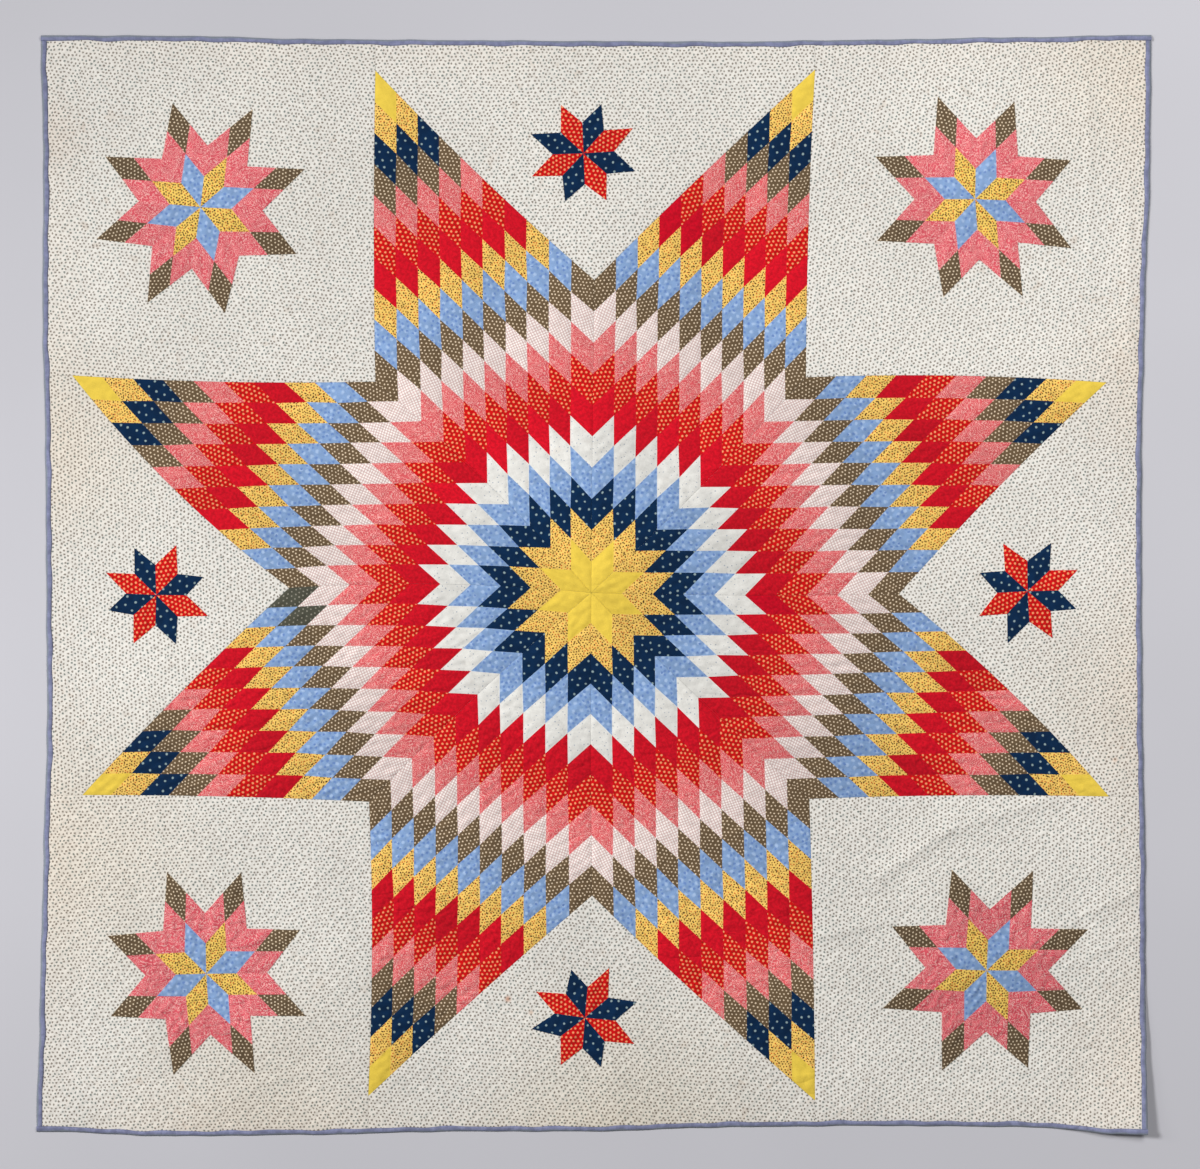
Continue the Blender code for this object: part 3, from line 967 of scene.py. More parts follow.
@dataclass
class BigStar:
    """The eight pieced points of the big star."""

    plan: QuiltPlan
    works: ClothWorks
    diamonds: int = 10
    cuts: int = 12
    puff: float = 0.0018
    puff_power: float = 5.0
    cut_error: float = 0.0013

    def cloth_of(self, arm: int, i: int, j: int) -> Cloth:
        """Cloth of one diamond, by its row from the middle."""
        return ODD_DIAMONDS.get((arm, i, j), RING_CLOTHS[i + j])

    def cut_errors(self, index: int) -> np.ndarray:
        """How far each point of a star point lies from its true place, by uneven cutting.

        Args:
            index: Which star point, from 0.

        Returns:
            The offsets on the star point's grid, 0 along its outline.
        """
        draw = np.random.default_rng(300 + index)
        error = draw.uniform(-1, 1, (self.diamonds + 1, self.diamonds + 1, 2)) * self.cut_error
        error[[0, -1]] = 0
        error[:, [0, -1]] = 0
        at = np.arange(self.diamonds * self.cuts + 1) / self.cuts
        low = np.minimum(at.astype(int), self.diamonds - 1)
        past = (at - low)[:, None, None]
        rows = error[low] * (1 - past) + error[low + 1] * past
        past = (at - low)[None, :, None]
        return rows[:, low] * (1 - past) + rows[:, low + 1] * past

    def build(self, index: int) -> Piece:
        """Build one star point.

        Args:
            index: Which star point, from 0.

        Returns:
            The finished piece.
        """
        size = self.diamonds * self.cuts
        u, v = unit_grid(size)
        flat = self.plan.star_place(index, u, v) + self.cut_errors(index)
        flat = flat.reshape(-1, 2)
        place = np.modf(np.stack([u, v], -1).reshape(-1, 2) * self.diamonds + NUDGE)[0]
        rise = puffed(place, self.puff_power)
        number = np.arange((size + 1) ** 2).reshape(size + 1, size + 1)
        rim = np.concatenate([number[:-1, 0], number[-1, :-1],
                              number[:0:-1, -1], number[0, :0:-1]])
        flat[rim] = draw_in(flat[rim], self.plan.gap / 2)
        height = self.plan.face(flat) + (self.puff + self.plan.pucker(flat)) * np.clip(rise, 0, 1)
        points, faces, count = close_skin(np.column_stack([flat, height]), grid_quads(number),
                                          rim, self.plan, np.zeros((0, 2)))
        cells = np.stack(np.divmod(np.arange(count), size)) // self.cuts
        out = np.arange(size) // self.cuts
        first, last = np.zeros_like(out), np.full_like(out, self.diamonds - 1)
        walls = np.stack([np.concatenate([out, last, out[::-1], first]),
                          np.concatenate([first, out, last, out[::-1]])])
        return self.dress(index, points, faces, cells, walls)

    def dress(self, index: int, points: np.ndarray, faces: list[list[int]],
              cells: np.ndarray, walls: np.ndarray) -> Piece:
        """Give each diamond its cloth, its lie, its own slight tone and its point's painted light
        and shade.

        Args:
            index: Which star point, from 0.
            points: All its points.
            faces: All its faces: those of the face, then the back, then the walls.
            cells: The diamond of each face of the face, along its first and second side.
            walls: The diamond next to each wall.

        Returns:
            The finished piece.
        """
        draw = np.random.default_rng(100 + index)
        shape = (self.diamonds, self.diamonds)
        # The star point's tone adds painted light and shade over the whole point
        tone = draw.uniform(-1, 1, shape) + STAR_ARMS[index].tone
        lie = math.radians(22.5 + 45 * index) + np.radians(draw.uniform(-4, 4, shape))
        shift = draw.uniform(0, 0.5, (*shape, 2))
        grid = [[self.cloth_of(index, i, j) for j in range(shape[1])] for i in range(shape[0])]
        cloths = list(dict.fromkeys([cloth for row in grid for cloth in row])) + [Cloth.BACKING]
        slots = np.array([[cloths.index(cloth) for cloth in row] for row in grid])
        back = len(faces) - cells.shape[1] - walls.shape[1]
        skin = Skin(
            points, faces, cloths,
            np.concatenate([slots[*cells], np.full(back, len(cloths) - 1), slots[*walls]]),
            np.concatenate([tone[*cells], np.zeros(back), tone[*walls]]),
            np.concatenate([lie[*cells], np.zeros(back), lie[*walls]]),
            np.concatenate([shift[*cells], np.zeros((back, 2)), shift[*walls]]),
        )
        node = f"star_point_{index + 1}"
        rim = self.plan.star_place(
            index, np.array([0, 0.5, 1, 1, 1, 0.5, 0, 0]), np.array([0, 0, 0, 0.5, 1, 1, 1, 0.5]))
        return Piece(skin.link(f"{node}_cloth", self.works), node, Slot.PATCHWORK,
                     flat_size(rim), loop_area(rim))


@dataclass
class Ground:
    """The corner squares and side triangles of printed ground with their crosshatch quilting."""

    plan: QuiltPlan
    works: ClothWorks
    pitch: float = 0.018
    cuts: int = 4
    puff: float = 0.0016
    puff_power: float = 2.2
    seam_steps: int = 120
    wander: float = 0.0016
    rim_spacing: float = 0.0055
    rim_clearance: float = 0.0022
    rim_fade: float = 0.008
    seam_width: float = 0.0011
    seam_rise: float = 0.0003
    star_fade: float = 0.007
    back_step: float = 0.0225
    back_clearance: float = 0.004

    def lattice(self, panel: PanelPlan, loop: np.ndarray) -> tuple[np.ndarray, np.ndarray]:
        """Points on a panel that follow its quilting lines.

        Args:
            panel: The panel.
            loop: Its outline.

        Returns:
            The points well inside the outline, and their quilting coordinates in pitches.
        """
        first, second = math.radians(panel.first_slant), math.radians(panel.second_slant)
        step = self.pitch / self.cuts / abs(math.sin(second - first))
        across = np.array([[math.cos(first), math.sin(first)],
                           [math.cos(second), math.sin(second)]]) * step
        reach = np.array([loop.min(0), loop.max(0)])
        ends = np.array([[x, y] for x in reach[:, 0] for y in reach[:, 1]]) @ np.linalg.inv(across)
        low, high = np.floor(ends.min(0)).astype(int), np.ceil(ends.max(0)).astype(int)
        a, b = np.meshgrid(np.arange(low[0], high[0] + 1), np.arange(low[1], high[1] + 1))
        index = np.stack([a.ravel(), b.ravel()], 1).astype(float)
        points = index @ across
        points = points + self.warp(points)
        keep = is_inside(points, loop)
        points, index = points[keep], index[keep]
        keep = distance_to_loop(points, loop) > self.rim_clearance
        return points[keep], index[keep] / self.cuts

    def warp(self, points: np.ndarray) -> np.ndarray:
        """How far the hand-marked quilting lines wander.

        Args:
            points: Points in the plane, one a row.

        Returns:
            The offset of each point.
        """
        x, y = points[:, 0], points[:, 1]
        side = np.sin(17 * x + 9 * y) + np.sin(31 * y - 12 * x + 1.7)
        up = np.sin(14 * y - 21 * x + 0.6) + np.sin(27 * x + 23 * y)
        return np.stack([side, up], 1) * self.wander

    def build(self, index: int, binding: list[bpy.types.Object], floor: str) -> Piece:
        """Build one panel of ground.

        Args:
            index: Which inner corner of the big star it fills, from 0.
            binding: The lengths of binding that go with it.
            floor: The name of what it lies on.

        Returns:
            The finished piece.
        """
        panel, star = PANELS[index], APPLIED_STARS[index]
        outline = self.plan.ground_outline(index, self.seam_steps)
        rim = spaced(outline, self.rim_spacing)
        inner, quilting = self.lattice(panel, outline)
        seam = draw_in(rim, self.seam_width)
        flat = np.concatenate([rim, seam, inner])
        tips, valleys = self.plan.applied_corners(star)
        applied = np.stack([valleys, tips], 1).reshape(-1, 2)
        beside = smooth(distance_to_loop(inner, applied) / self.star_fade)
        under = np.where(is_inside(inner, applied), 0.0, beside)
        edge = smooth(distance_to_loop(inner, outline) / self.rim_fade)
        rise = puffed(np.modf(quilting % 1.0)[0], self.puff_power)
        lifted = np.concatenate([np.zeros(len(rim)), np.full(len(seam), self.seam_rise),
                                 self.puff * rise * under * edge])
        height = self.plan.face(flat) + lifted
        back = self.back_points(outline)
        triangles = fill_flat(flat, len(rim))
        points, faces, count = close_skin(np.column_stack([flat, height]), triangles,
                                          np.arange(len(rim)), self.plan, back)
        marks = np.full((len(points), 2), 0.5)
        marks[len(rim) + len(seam):len(flat)] = quilting
        return self.dress(panel, points, faces, count, len(rim), marks, outline, binding, floor)

    def back_points(self, outline: np.ndarray) -> np.ndarray:
        """Points that bend the underside where the corner curls up.

        Args:
            outline: The panel's outline.

        Returns:
            The points, one a row; none where the panel lies flat.
        """
        start, along, outward = self.plan.lift_line()
        rows, columns = np.meshgrid(np.arange(0, 12), np.arange(-2, 24))
        ways = rows.reshape(-1, 1) * outward + columns.reshape(-1, 1) * along
        points = start + ways * self.back_step
        points = points[is_inside(points, outline)]
        return points[distance_to_loop(points, outline) > self.back_clearance]

    def dress(self, panel: PanelPlan, points: np.ndarray, faces: list[list[int]], count: int,
              walls: int, marks: np.ndarray, outline: np.ndarray,
              binding: list[bpy.types.Object], floor: str) -> Piece:
        """Give the panel its print and its plain back.

        Args:
            panel: The panel.
            points: All its points.
            faces: All its faces, those of the face first.
            count: How many faces the face has.
            walls: How many walls it has, the last of its faces.
            marks: The quilting coordinates of its points.
            outline: Its outline.
            binding: The lengths of binding that go with it.
            floor: The name of what it lies on.

        Returns:
            The finished piece.
        """
        total = len(faces)
        slots = np.zeros(total, int)
        slots[count:total - walls] = 1
        skin = Skin(points, faces, [Cloth.GROUND, Cloth.BACKING], slots, np.zeros(total),
                    np.full(total, math.radians(panel.print_turn)), np.zeros((total, 2)), marks)
        item = skin.link(f"{panel.name}_cloth", self.works)
        return Piece(item, panel.name, Slot.GROUND, flat_size(outline), loop_area(outline),
                     [floor], binding)


@dataclass
class AppliedStars:
    """The stars of small diamonds sewn on to the ground."""

    plan: QuiltPlan
    works: ClothWorks
    cuts: int = 12
    thickness: float = 0.0008
    puff: float = 0.0012
    puff_power: float = 3.0
    wrinkles: float = 1.25
    wrinkle_lie: float = 1.3
    wrinkle_floor: float = 0.75

    def build(self, star: AppliedPlan, ground: str) -> Piece:
        """Build one applied star.

        Args:
            star: The star.
            ground: The name of the panel that it lies on.

        Returns:
            The finished piece.
        """
        size = star.diamonds * self.cuts
        u, v = unit_grid(size)
        share = np.modf(np.stack([u, v], -1) * star.diamonds + NUDGE)[0]
        rise = puffed(share, self.puff_power)
        tips, valleys = self.plan.applied_corners(star)
        middle = np.array([star.x, star.y]) * MM
        keys: dict[tuple[int, int], int] = {}
        flat: list[np.ndarray] = []
        rises: list[float] = []
        quads: list[list[int]] = []
        cells: list[tuple[int, int, int]] = []
        for arm in range(ARMS):
            corners = (middle, valleys[arm], valleys[(arm + 1) % ARMS], tips[arm])
            place = in_diamond(corners, u[..., None], v[..., None])
            number = np.zeros((size + 1, size + 1), int)
            for i in range(size + 1):
                for j in range(size + 1):
                    number[i, j] = self.point(keys, flat, rises, place[i, j], rise[i, j])
            quads += grid_quads(number).tolist()
            cells += [(arm, i // self.cuts, j // self.cuts)
                      for i in range(size) for j in range(size)]
        rim, owners = self.outline(quads)
        points = np.array(flat)
        base = self.plan.face(points) + self.plan.gap
        pucker = self.wrinkles * self.plan.pucker(points, self.wrinkle_lie)
        pucker = np.maximum(pucker, -self.wrinkle_floor * self.puff)
        height = base + self.thickness + (self.puff + pucker) * np.clip(np.array(rises), 0, 1)
        shift = len(points)
        faces = quads + [[number + shift for number in reversed(quad)] for quad in quads]
        faces += [[shift + a, shift + b, b, a] for a, b in zip(rim, np.roll(rim, -1).tolist())]
        both = np.concatenate([np.column_stack([points, height]), np.column_stack([points, base])])
        cells += cells + [cells[owner] for owner in owners]
        return self.dress(star, ground, both, faces, cells, points[rim])

    @staticmethod
    def point(keys: dict[tuple[int, int], int], flat: list[np.ndarray], rises: list[float],
              place: np.ndarray, rise: float) -> int:
        """Number of the point at a place, added where it is new.

        Args:
            keys: Numbers of the points so far, by their rounded place.
            flat: The points so far.
            rises: Their rise from the seams.
            place: Where the point is.
            rise: Its rise from the seams.

        Returns:
            The point's number.
        """
        key = (round(place[0] * 1e6), round(place[1] * 1e6))
        for near in ((0, 0), (1, 0), (0, 1), (-1, 0), (0, -1)):
            found = keys.get((key[0] + near[0], key[1] + near[1]))
            if found is not None:
                return found
        keys[key] = len(flat)
        flat.append(place)
        rises.append(float(rise))
        return keys[key]

    @staticmethod
    def outline(quads: list[list[int]]) -> tuple[list[int], list[int]]:
        """Follow the outline.

        Args:
            quads: The faces as lists of point numbers.

        Returns:
            Numbers of the points round the outline in order, and of the face at each.
        """
        ways = {(a, b): row for row, quad in enumerate(quads)
                for a, b in zip(quad, quad[1:] + quad[:1])}
        follows = {a: b for a, b in ways if (b, a) not in ways}
        start = min(follows)
        loop = [start]
        while follows[loop[-1]] != start:
            loop.append(follows[loop[-1]])
        return loop, [ways[point, follows[point]] for point in loop]

    def dress(self, star: AppliedPlan, ground: str, points: np.ndarray, faces: list[list[int]],
              cells: list[tuple[int, int, int]], outline: np.ndarray) -> Piece:
        """Give each diamond its cloth.

        Args:
            star: The star.
            ground: The name of the panel that it lies on.
            points: All its points.
            faces: All its faces: those of the face, then the back, then the walls.
            cells: The arm and diamond of each face.
            outline: Its outline.

        Returns:
            The finished piece.
        """
        draw = np.random.default_rng(abs(int(star.x * 7 + star.y)))
        tone = draw.uniform(-1, 1, (ARMS, 2, 2)) + star.tone
        lie = draw.uniform(-0.1, 0.1, (ARMS, 2, 2)) + np.radians(star.angles)[:, None, None]
        shift = draw.uniform(0, 0.5, (ARMS, 2, 2, 2))
        cloths = [*star.inner, Cloth.ROSE, Cloth.UMBER, Cloth.BACKING]
        arm, i, j = np.array(cells).T
        ring = i + j
        slot = np.where(ring == 0, arm % 2, ring + 1)
        count = (2 * len(cells) - len(outline)) // 4
        slot[count:2 * count] = 4
        skin = Skin(points, faces, cloths, slot, tone[arm, i, j], lie[arm, i, j],
                    shift[arm, i, j])
        item = skin.link(f"{star.name}_cloth", self.works)
        return Piece(item, star.name, Slot.APPLIED, flat_size(outline), loop_area(outline),
                     [ground])


@dataclass
class Binding:
    """The four lengths of folded binding round the edge."""

    plan: QuiltPlan
    works: ClothWorks
    height: float = 0.0054
    roll: float = 0.0018
    step: float = 0.006
    pucker: float = 0.00035
    pucker_waves: tuple[float, float, float] = (430.0, 97.0, 61.0)

    def section(self) -> np.ndarray:
        """How far in from the edge and how high the section's corners are, inner bottom first.

        Returns:
            The distance in and the height of each corner.
        """
        width, high, roll = self.plan.binding_width, self.height, self.roll
        return np.array([
            (width, 0.0), (width * 0.6, 0.0), (roll, 0.0), (roll * 0.35, high * 0.10),
            (0.0, high * 0.27), (roll * 0.35, high * 0.46), (width * 0.14, high * 0.63),
            (width * 0.25, high * 0.78), (width * 0.38, high * 0.90), (width * 0.54, high * 0.98),
            (width * 0.70, high), (width * 0.84, high * 0.95), (width * 0.95, high * 0.85),
            (width, high * 0.62),
        ])

    def build(self, side: Side) -> Piece:
        """Build one length of binding.

        Args:
            side: The side that it closes.

        Returns:
            The finished piece.
        """
        covers = side in (Side.TOP, Side.BOTTOM)
        start, end = self.plan.edge_span(side)
        steps = self.plan.edge_steps
        trim = 0.0 if covers else steps * (self.plan.binding_width + self.plan.gap) / (end - start)
        count = int((end - start) / self.step)
        stops = trim + (steps - 2 * trim) * np.arange(count + 1) / count
        inward = np.array(((-1, 0), (0, -1), (1, 0), (0, 1))[side.value], float)
        section = self.section()
        edge = np.array([self.plan.edge_point(side, stop) for stop in stops])
        reach = np.array([self.plan.seam_inset(side, stop) for stop in stops])
        share = section[None, :, :1] * (reach / self.plan.binding_width)[:, None, None]
        flat = edge[:, None, :] + share * inward
        lift = self.plan.lift(flat.reshape(-1, 2)).reshape(flat.shape[:2])
        along = np.arange(count + 1)[:, None] * self.step
        fine, slow, long = self.pucker_waves
        waves = np.sin(along * fine) * np.sin(along * slow + side.value) + np.sin(along * long)
        top = np.clip(section[:, 1] / self.height - 0.5, 0, 1) * 2
        height = lift + section[:, 1] + waves * top * self.pucker * 0.5
        points = np.concatenate([flat, height[..., None]], -1).reshape(-1, 3)
        number = np.arange(len(points)).reshape(flat.shape[:2])
        after = np.roll(number, -1, axis=1)
        quads = np.stack([number[:-1], after[:-1], after[1:], number[1:]], -1).reshape(-1, 4)
        faces = [*quads.tolist(), number[0][::-1].tolist(), number[-1].tolist()]
        across = np.tile(section[:, 0] / self.plan.binding_width, count + 1)
        marks = np.column_stack([np.repeat(along[:, 0], len(section)), across])
        return self.dress(side, points, faces, marks)

    def dress(self, side: Side, points: np.ndarray, faces: list[list[int]],
              marks: np.ndarray) -> Piece:
        """Give the binding its cloth.

        Args:
            side: The side that it closes.
            points: All its points.
            faces: All its faces.
            marks: How far along, and what share of the way in, each point is.

        Returns:
            The finished piece.
        """
        total = len(faces)
        turn = np.full(total, 0.0 if side in (Side.TOP, Side.BOTTOM) else math.pi / 2)
        skin = Skin(points, faces, [Cloth.BINDING], np.zeros(total, int), np.zeros(total), turn,
                    np.full((total, 2), 0.01 * side.value), marks)
        node = f"binding_{side.word}"
        return Piece(skin.link(f"{node}_cloth", self.works), node, Slot.BINDING)


def linear(channel: float) -> float:
    """Turn a displayed colour channel, 0 to 255, into its linear value."""
    value = channel / 255
    return value / 12.92 if value <= 0.04045 else ((value + 0.055) / 1.055) ** 2.4


def paint(colour: Rgb) -> tuple[float, float, float, float]:
    """Turn a displayed colour into the four numbers that a colour socket takes."""
    red, green, blue = (linear(channel) for channel in colour)
    return red, green, blue, 1.0


class Graph:
    """Adds and links the nodes of one node tree."""

    def __init__(self, tree: bpy.types.NodeTree) -> None:
        """Start on a tree.

        Args:
            tree: The node tree to fill.
        """
        self.tree = tree

    def feed(self, node: bpy.types.Node, inputs: Inputs) -> None:
        """Link or set inputs of a node.

        Args:
            node: The node.
            inputs: Values or sockets for its inputs, by name or number.
        """
        for key, value in inputs.items():
            if isinstance(value, bpy.types.NodeSocket):
                self.tree.links.new(value, node.inputs[key])
            else:
                node.inputs[key].default_value = value

    def add(self, kind: str, inputs: Inputs, **settings: object) -> bpy.types.Node:
        """Add one node.

        Args:
            kind: The node's type.
            inputs: Values or sockets for its inputs, by name or number.
            **settings: Its other settings.

        Returns:
            The node.
        """
        node = self.tree.nodes.new(kind)
        for name, value in settings.items():
            setattr(node, name, value)
        self.feed(node, inputs)
        return node

    def math(self, operation: str, first: Value, second: Value = 0.0) -> Socket:
        """Work out one sum.

        Args:
            operation: What to do.
            first: The first number.
            second: The second number.

        Returns:
            The result.
        """
        return self.add("ShaderNodeMath", {0: first, 1: second}, operation=operation).outputs[0]

    def times(self, first: Value, second: Value) -> Socket:
        """Multiply two numbers."""
        return self.math("MULTIPLY", first, second)

    def plus(self, first: Value, second: Value) -> Socket:
        """Add two numbers."""
        return self.math("ADD", first, second)

    def times_plus(self, value: Value, factor: Value, extra: Value) -> Socket:
        """Multiply a number by a factor and add something extra."""
        inputs = {0: value, 1: factor, 2: extra}
        return self.add("ShaderNodeMath", inputs, operation="MULTIPLY_ADD").outputs[0]

    def parts(self, vector: Value) -> bpy.types.NodeOutputs:
        """Split a vector into its three numbers."""
        return self.add("ShaderNodeSeparateXYZ", {0: vector}).outputs

    def uv(self, name: str) -> Socket:
        """Coordinates stored on the mesh under a name."""
        return self.add("ShaderNodeUVMap", {}, uv_map=name).outputs[0]

    def vector(self, operation: str, first: Value, second: Value) -> Socket:
        """Work out one sum of vectors.

        Args:
            operation: What to do.
            first: The first vector.
            second: The second vector.

        Returns:
            The result.
        """
        node = self.add("ShaderNodeVectorMath", {0: first, 1: second}, operation=operation)
        return node.outputs[0]

    def scaled(self, vector: Value, scale: Value) -> Socket:
        """Multiply a vector by a number."""
        node = self.add("ShaderNodeVectorMath", {0: vector, "Scale": scale}, operation="SCALE")
        return node.outputs[0]

    def blend(self, share: Value, first: Value, second: Value, mode: str = "MIX") -> Socket:
        """Blend two colours.

        Args:
            share: How much of the second.
            first: The first colour.
            second: The second colour.
            mode: How they are blended.

        Returns:
            The colour.
        """
        inputs = {0: share, 6: first, 7: second}
        return self.add("ShaderNodeMix", inputs, data_type="RGBA", blend_type=mode).outputs[2]

    def shade(self, colour: Value, value: Socket) -> Socket:
        """Multiply a colour by a number."""
        grey = self.add("ShaderNodeCombineColor", {0: value, 1: value, 2: value}).outputs[0]
        return self.blend(1.0, colour, grey, "MULTIPLY")

    def ease(self, value: Value, low: Value, high: Value, start: Value = 0.0,
             end: Value = 1.0) -> Socket:
        """Ease a number between two others.

        Args:
            value: The number.
            low: Where it starts to change.
            high: Where it has changed.
            start: The result at low and below.
            end: The result at high and above.

        Returns:
            The result.
        """
        inputs = {"Value": value, "From Min": low, "From Max": high,
                  "To Min": start, "To Max": end}
        return self.add("ShaderNodeMapRange", inputs, interpolation_type="SMOOTHSTEP").outputs[0]

    def noise(self, vector: Value, scale: Value, detail: float = 2.0) -> bpy.types.Node:
        """Add a noise texture in the plane."""
        return self.add("ShaderNodeTexNoise", {"Vector": vector, "Scale": scale, "Detail": detail},
                        noise_dimensions="2D")


class Effect(Enum):
    """The shared effects, each one node group."""

    SPOTS = "printed spots"
    SQUIGGLE = "printed squiggle"
    WEAVE = "plain weave"
    CRUMPLE = "crumpled cotton"
    STITCH = "running stitch"
    AGEING = "faded and soiled cloth"


class EffectShop:
    """Builds each shared node group once."""

    def __init__(self) -> None:
        """Start with no group built."""
        self.made: dict[Effect, bpy.types.NodeTree] = {}

    def group(self, effect: Effect) -> bpy.types.NodeTree:
        """Find or build the node group of an effect.

        Args:
            effect: The effect.

        Returns:
            The node group.
        """
        if effect not in self.made:
            makers = {
                Effect.SPOTS: self.spots,
                Effect.SQUIGGLE: self.squiggle,
                Effect.WEAVE: self.weave,
                Effect.CRUMPLE: self.crumple,
                Effect.STITCH: self.stitch,
                Effect.AGEING: self.ageing,
            }
            self.made[effect] = makers[effect]()
        return self.made[effect]

    @staticmethod
    def start(effect: Effect, inputs: dict[str, str], outputs: dict[str, str]
              ) -> tuple[Graph, bpy.types.Node, bpy.types.Node]:
        """Start one node group.

        Args:
            effect: The effect.
            inputs: Socket kinds by input name.
            outputs: Socket kinds by output name.

        Returns:
            The group's graph, its input node and its output node.
        """
        tree = bpy.data.node_groups.new(effect.value, "ShaderNodeTree")
        for way, sockets in (("INPUT", inputs), ("OUTPUT", outputs)):
            for name, kind in sockets.items():
                tree.interface.new_socket(name=name, in_out=way, socket_type=f"NodeSocket{kind}")
        graph = Graph(tree)
        return graph, graph.add("NodeGroupInput", {}), graph.add("NodeGroupOutput", {})

    def spots(self) -> bpy.types.NodeTree:
        """Spots in offset rows, each a little out of its place.

        Returns:
            The node group.
        """
        graph, given, result = self.start(
            Effect.SPOTS,
            {"Print": "Vector", "Pitch": "Float", "Radius": "Float", "Blur": "Float",
             "Wander": "Float", "Ragged": "Float"},
            {"Mask": "Float", "Chance": "Float"},
        )
        pitch = given.outputs["Pitch"]
        parts = graph.parts(given.outputs["Print"])
        up = graph.math("DIVIDE", parts[1], graph.times(pitch, ROW_SHARE))
        row = graph.math("FLOOR", up)
        offset = graph.times(graph.math("FLOORED_MODULO", row, 2.0), 0.5)
        across = graph.plus(graph.math("DIVIDE", parts[0], pitch), offset)
        column = graph.math("FLOOR", across)
        cell = graph.add("ShaderNodeCombineXYZ", {0: column, 1: row}).outputs[0]
        place = graph.add("ShaderNodeCombineXYZ", {0: across, 1: up}).outputs[0]
        middle = graph.vector("ADD", cell, (0.5, 0.5, 0.0))
        away = graph.vector("MULTIPLY", graph.vector("SUBTRACT", place, middle),
                            (1.0, ROW_SHARE, 0.0))
        draw = graph.add("ShaderNodeTexWhiteNoise", {"Vector": cell}, noise_dimensions="2D")
        push = graph.vector("SUBTRACT", draw.outputs["Color"], (0.5, 0.5, 0.5))
        flat_push = graph.vector("MULTIPLY", push, (1.0, 1.0, 0.0))
        moved = graph.vector("SUBTRACT", away, graph.scaled(flat_push, given.outputs["Wander"]))
        length = graph.add("ShaderNodeVectorMath", {0: moved}, operation="LENGTH")
        rough = graph.noise(given.outputs["Print"], graph.math("DIVIDE", 2.6, pitch), 1.0)
        uneven = graph.math("SUBTRACT", rough.outputs["Fac"], 0.5)
        edge = graph.times(uneven, given.outputs["Ragged"])
        reach = graph.times(graph.plus(length.outputs["Value"], edge), pitch)
        inner = graph.math("SUBTRACT", given.outputs["Radius"], given.outputs["Blur"])
        outer = graph.plus(given.outputs["Radius"], given.outputs["Blur"])
        mask = graph.ease(reach, inner, outer, 1.0, 0.0)
        graph.feed(result, {"Mask": mask, "Chance": draw.outputs["Value"]})
        return graph.tree

    def squiggle(self) -> bpy.types.NodeTree:
        """A fine wandering line that fills the cloth.

        Returns:
            The node group.
        """
        graph, given, result = self.start(
            Effect.SQUIGGLE, {"Print": "Vector", "Pitch": "Float", "Width": "Float"},
            {"Mask": "Float"})
        scale = graph.math("DIVIDE", 0.55, given.outputs["Pitch"])
        cloud = graph.noise(given.outputs["Print"], scale, 0.0).outputs["Fac"]
        line = graph.math("ABSOLUTE", graph.math("SINE", graph.times(cloud, 11.0)))
        graph.feed(result, {"Mask": graph.ease(line, 0.0, given.outputs["Width"], 1.0, 0.0)})
        return graph.tree

    def weave(self) -> bpy.types.NodeTree:
        """Over and under of plain-woven threads, with thicker and thinner ones.

        Returns:
            The node group.
        """
        graph, given, result = self.start(
            Effect.WEAVE, {"Print": "Vector", "Thread": "Float"},
            {"Height": "Float", "Shade": "Float"})
        turns = graph.math("DIVIDE", math.tau / 2, given.outputs["Thread"])
        parts = graph.parts(given.outputs["Print"])
        warp = graph.math("SINE", graph.times(parts[0], turns))
        weft = graph.math("SINE", graph.times(parts[1], turns))
        height = graph.times_plus(graph.times(warp, weft), 0.5, 0.5)
        long_way = graph.vector("MULTIPLY", given.outputs["Print"], (60.0, 900.0, 1.0))
        cross_way = graph.vector("MULTIPLY", given.outputs["Print"], (900.0, 60.0, 1.0))
        slub = graph.plus(*[graph.noise(way, 1.0, 1.0).outputs["Fac"]
                            for way in (long_way, cross_way)])
        graph.feed(result, {"Height": height, "Shade": graph.times(slub, 0.5)})
        return graph.tree

    def crumple(self) -> bpy.types.NodeTree:
        """Fine soft wrinkles of washed cotton.

        Returns:
            The node group.
        """
        graph, given, result = self.start(Effect.CRUMPLE, {"Place": "Vector", "Size": "Float"},
                                          {"Height": "Float"})
        scale = graph.math("DIVIDE", 1.0, given.outputs["Size"])
        ridges = []
        for stretch in ((0.40, 1.0, 1.0), (1.0, 0.55, 1.0)):
            stretched = graph.vector("MULTIPLY", given.outputs["Place"], stretch)
            large = graph.noise(stretched, scale, 1.0).outputs["Fac"]
            near = graph.math("ABSOLUTE", graph.math("SUBTRACT", large, 0.5))
            ridges.append(graph.ease(near, 0.0, 0.10))
        small = graph.noise(given.outputs["Place"], graph.times(scale, 2.3), 1.0)
        creased = graph.plus(ridges[0], graph.times(ridges[1], 0.6))
        whole = graph.plus(graph.times(creased, 0.5), small.outputs["Fac"])
        parts = graph.parts(given.outputs["Place"])
        low = graph.ease(parts[1], -0.85, 0.75, 1.0, 0.35)
        graph.feed(result, {"Height": graph.times(whole, low)})
        return graph.tree

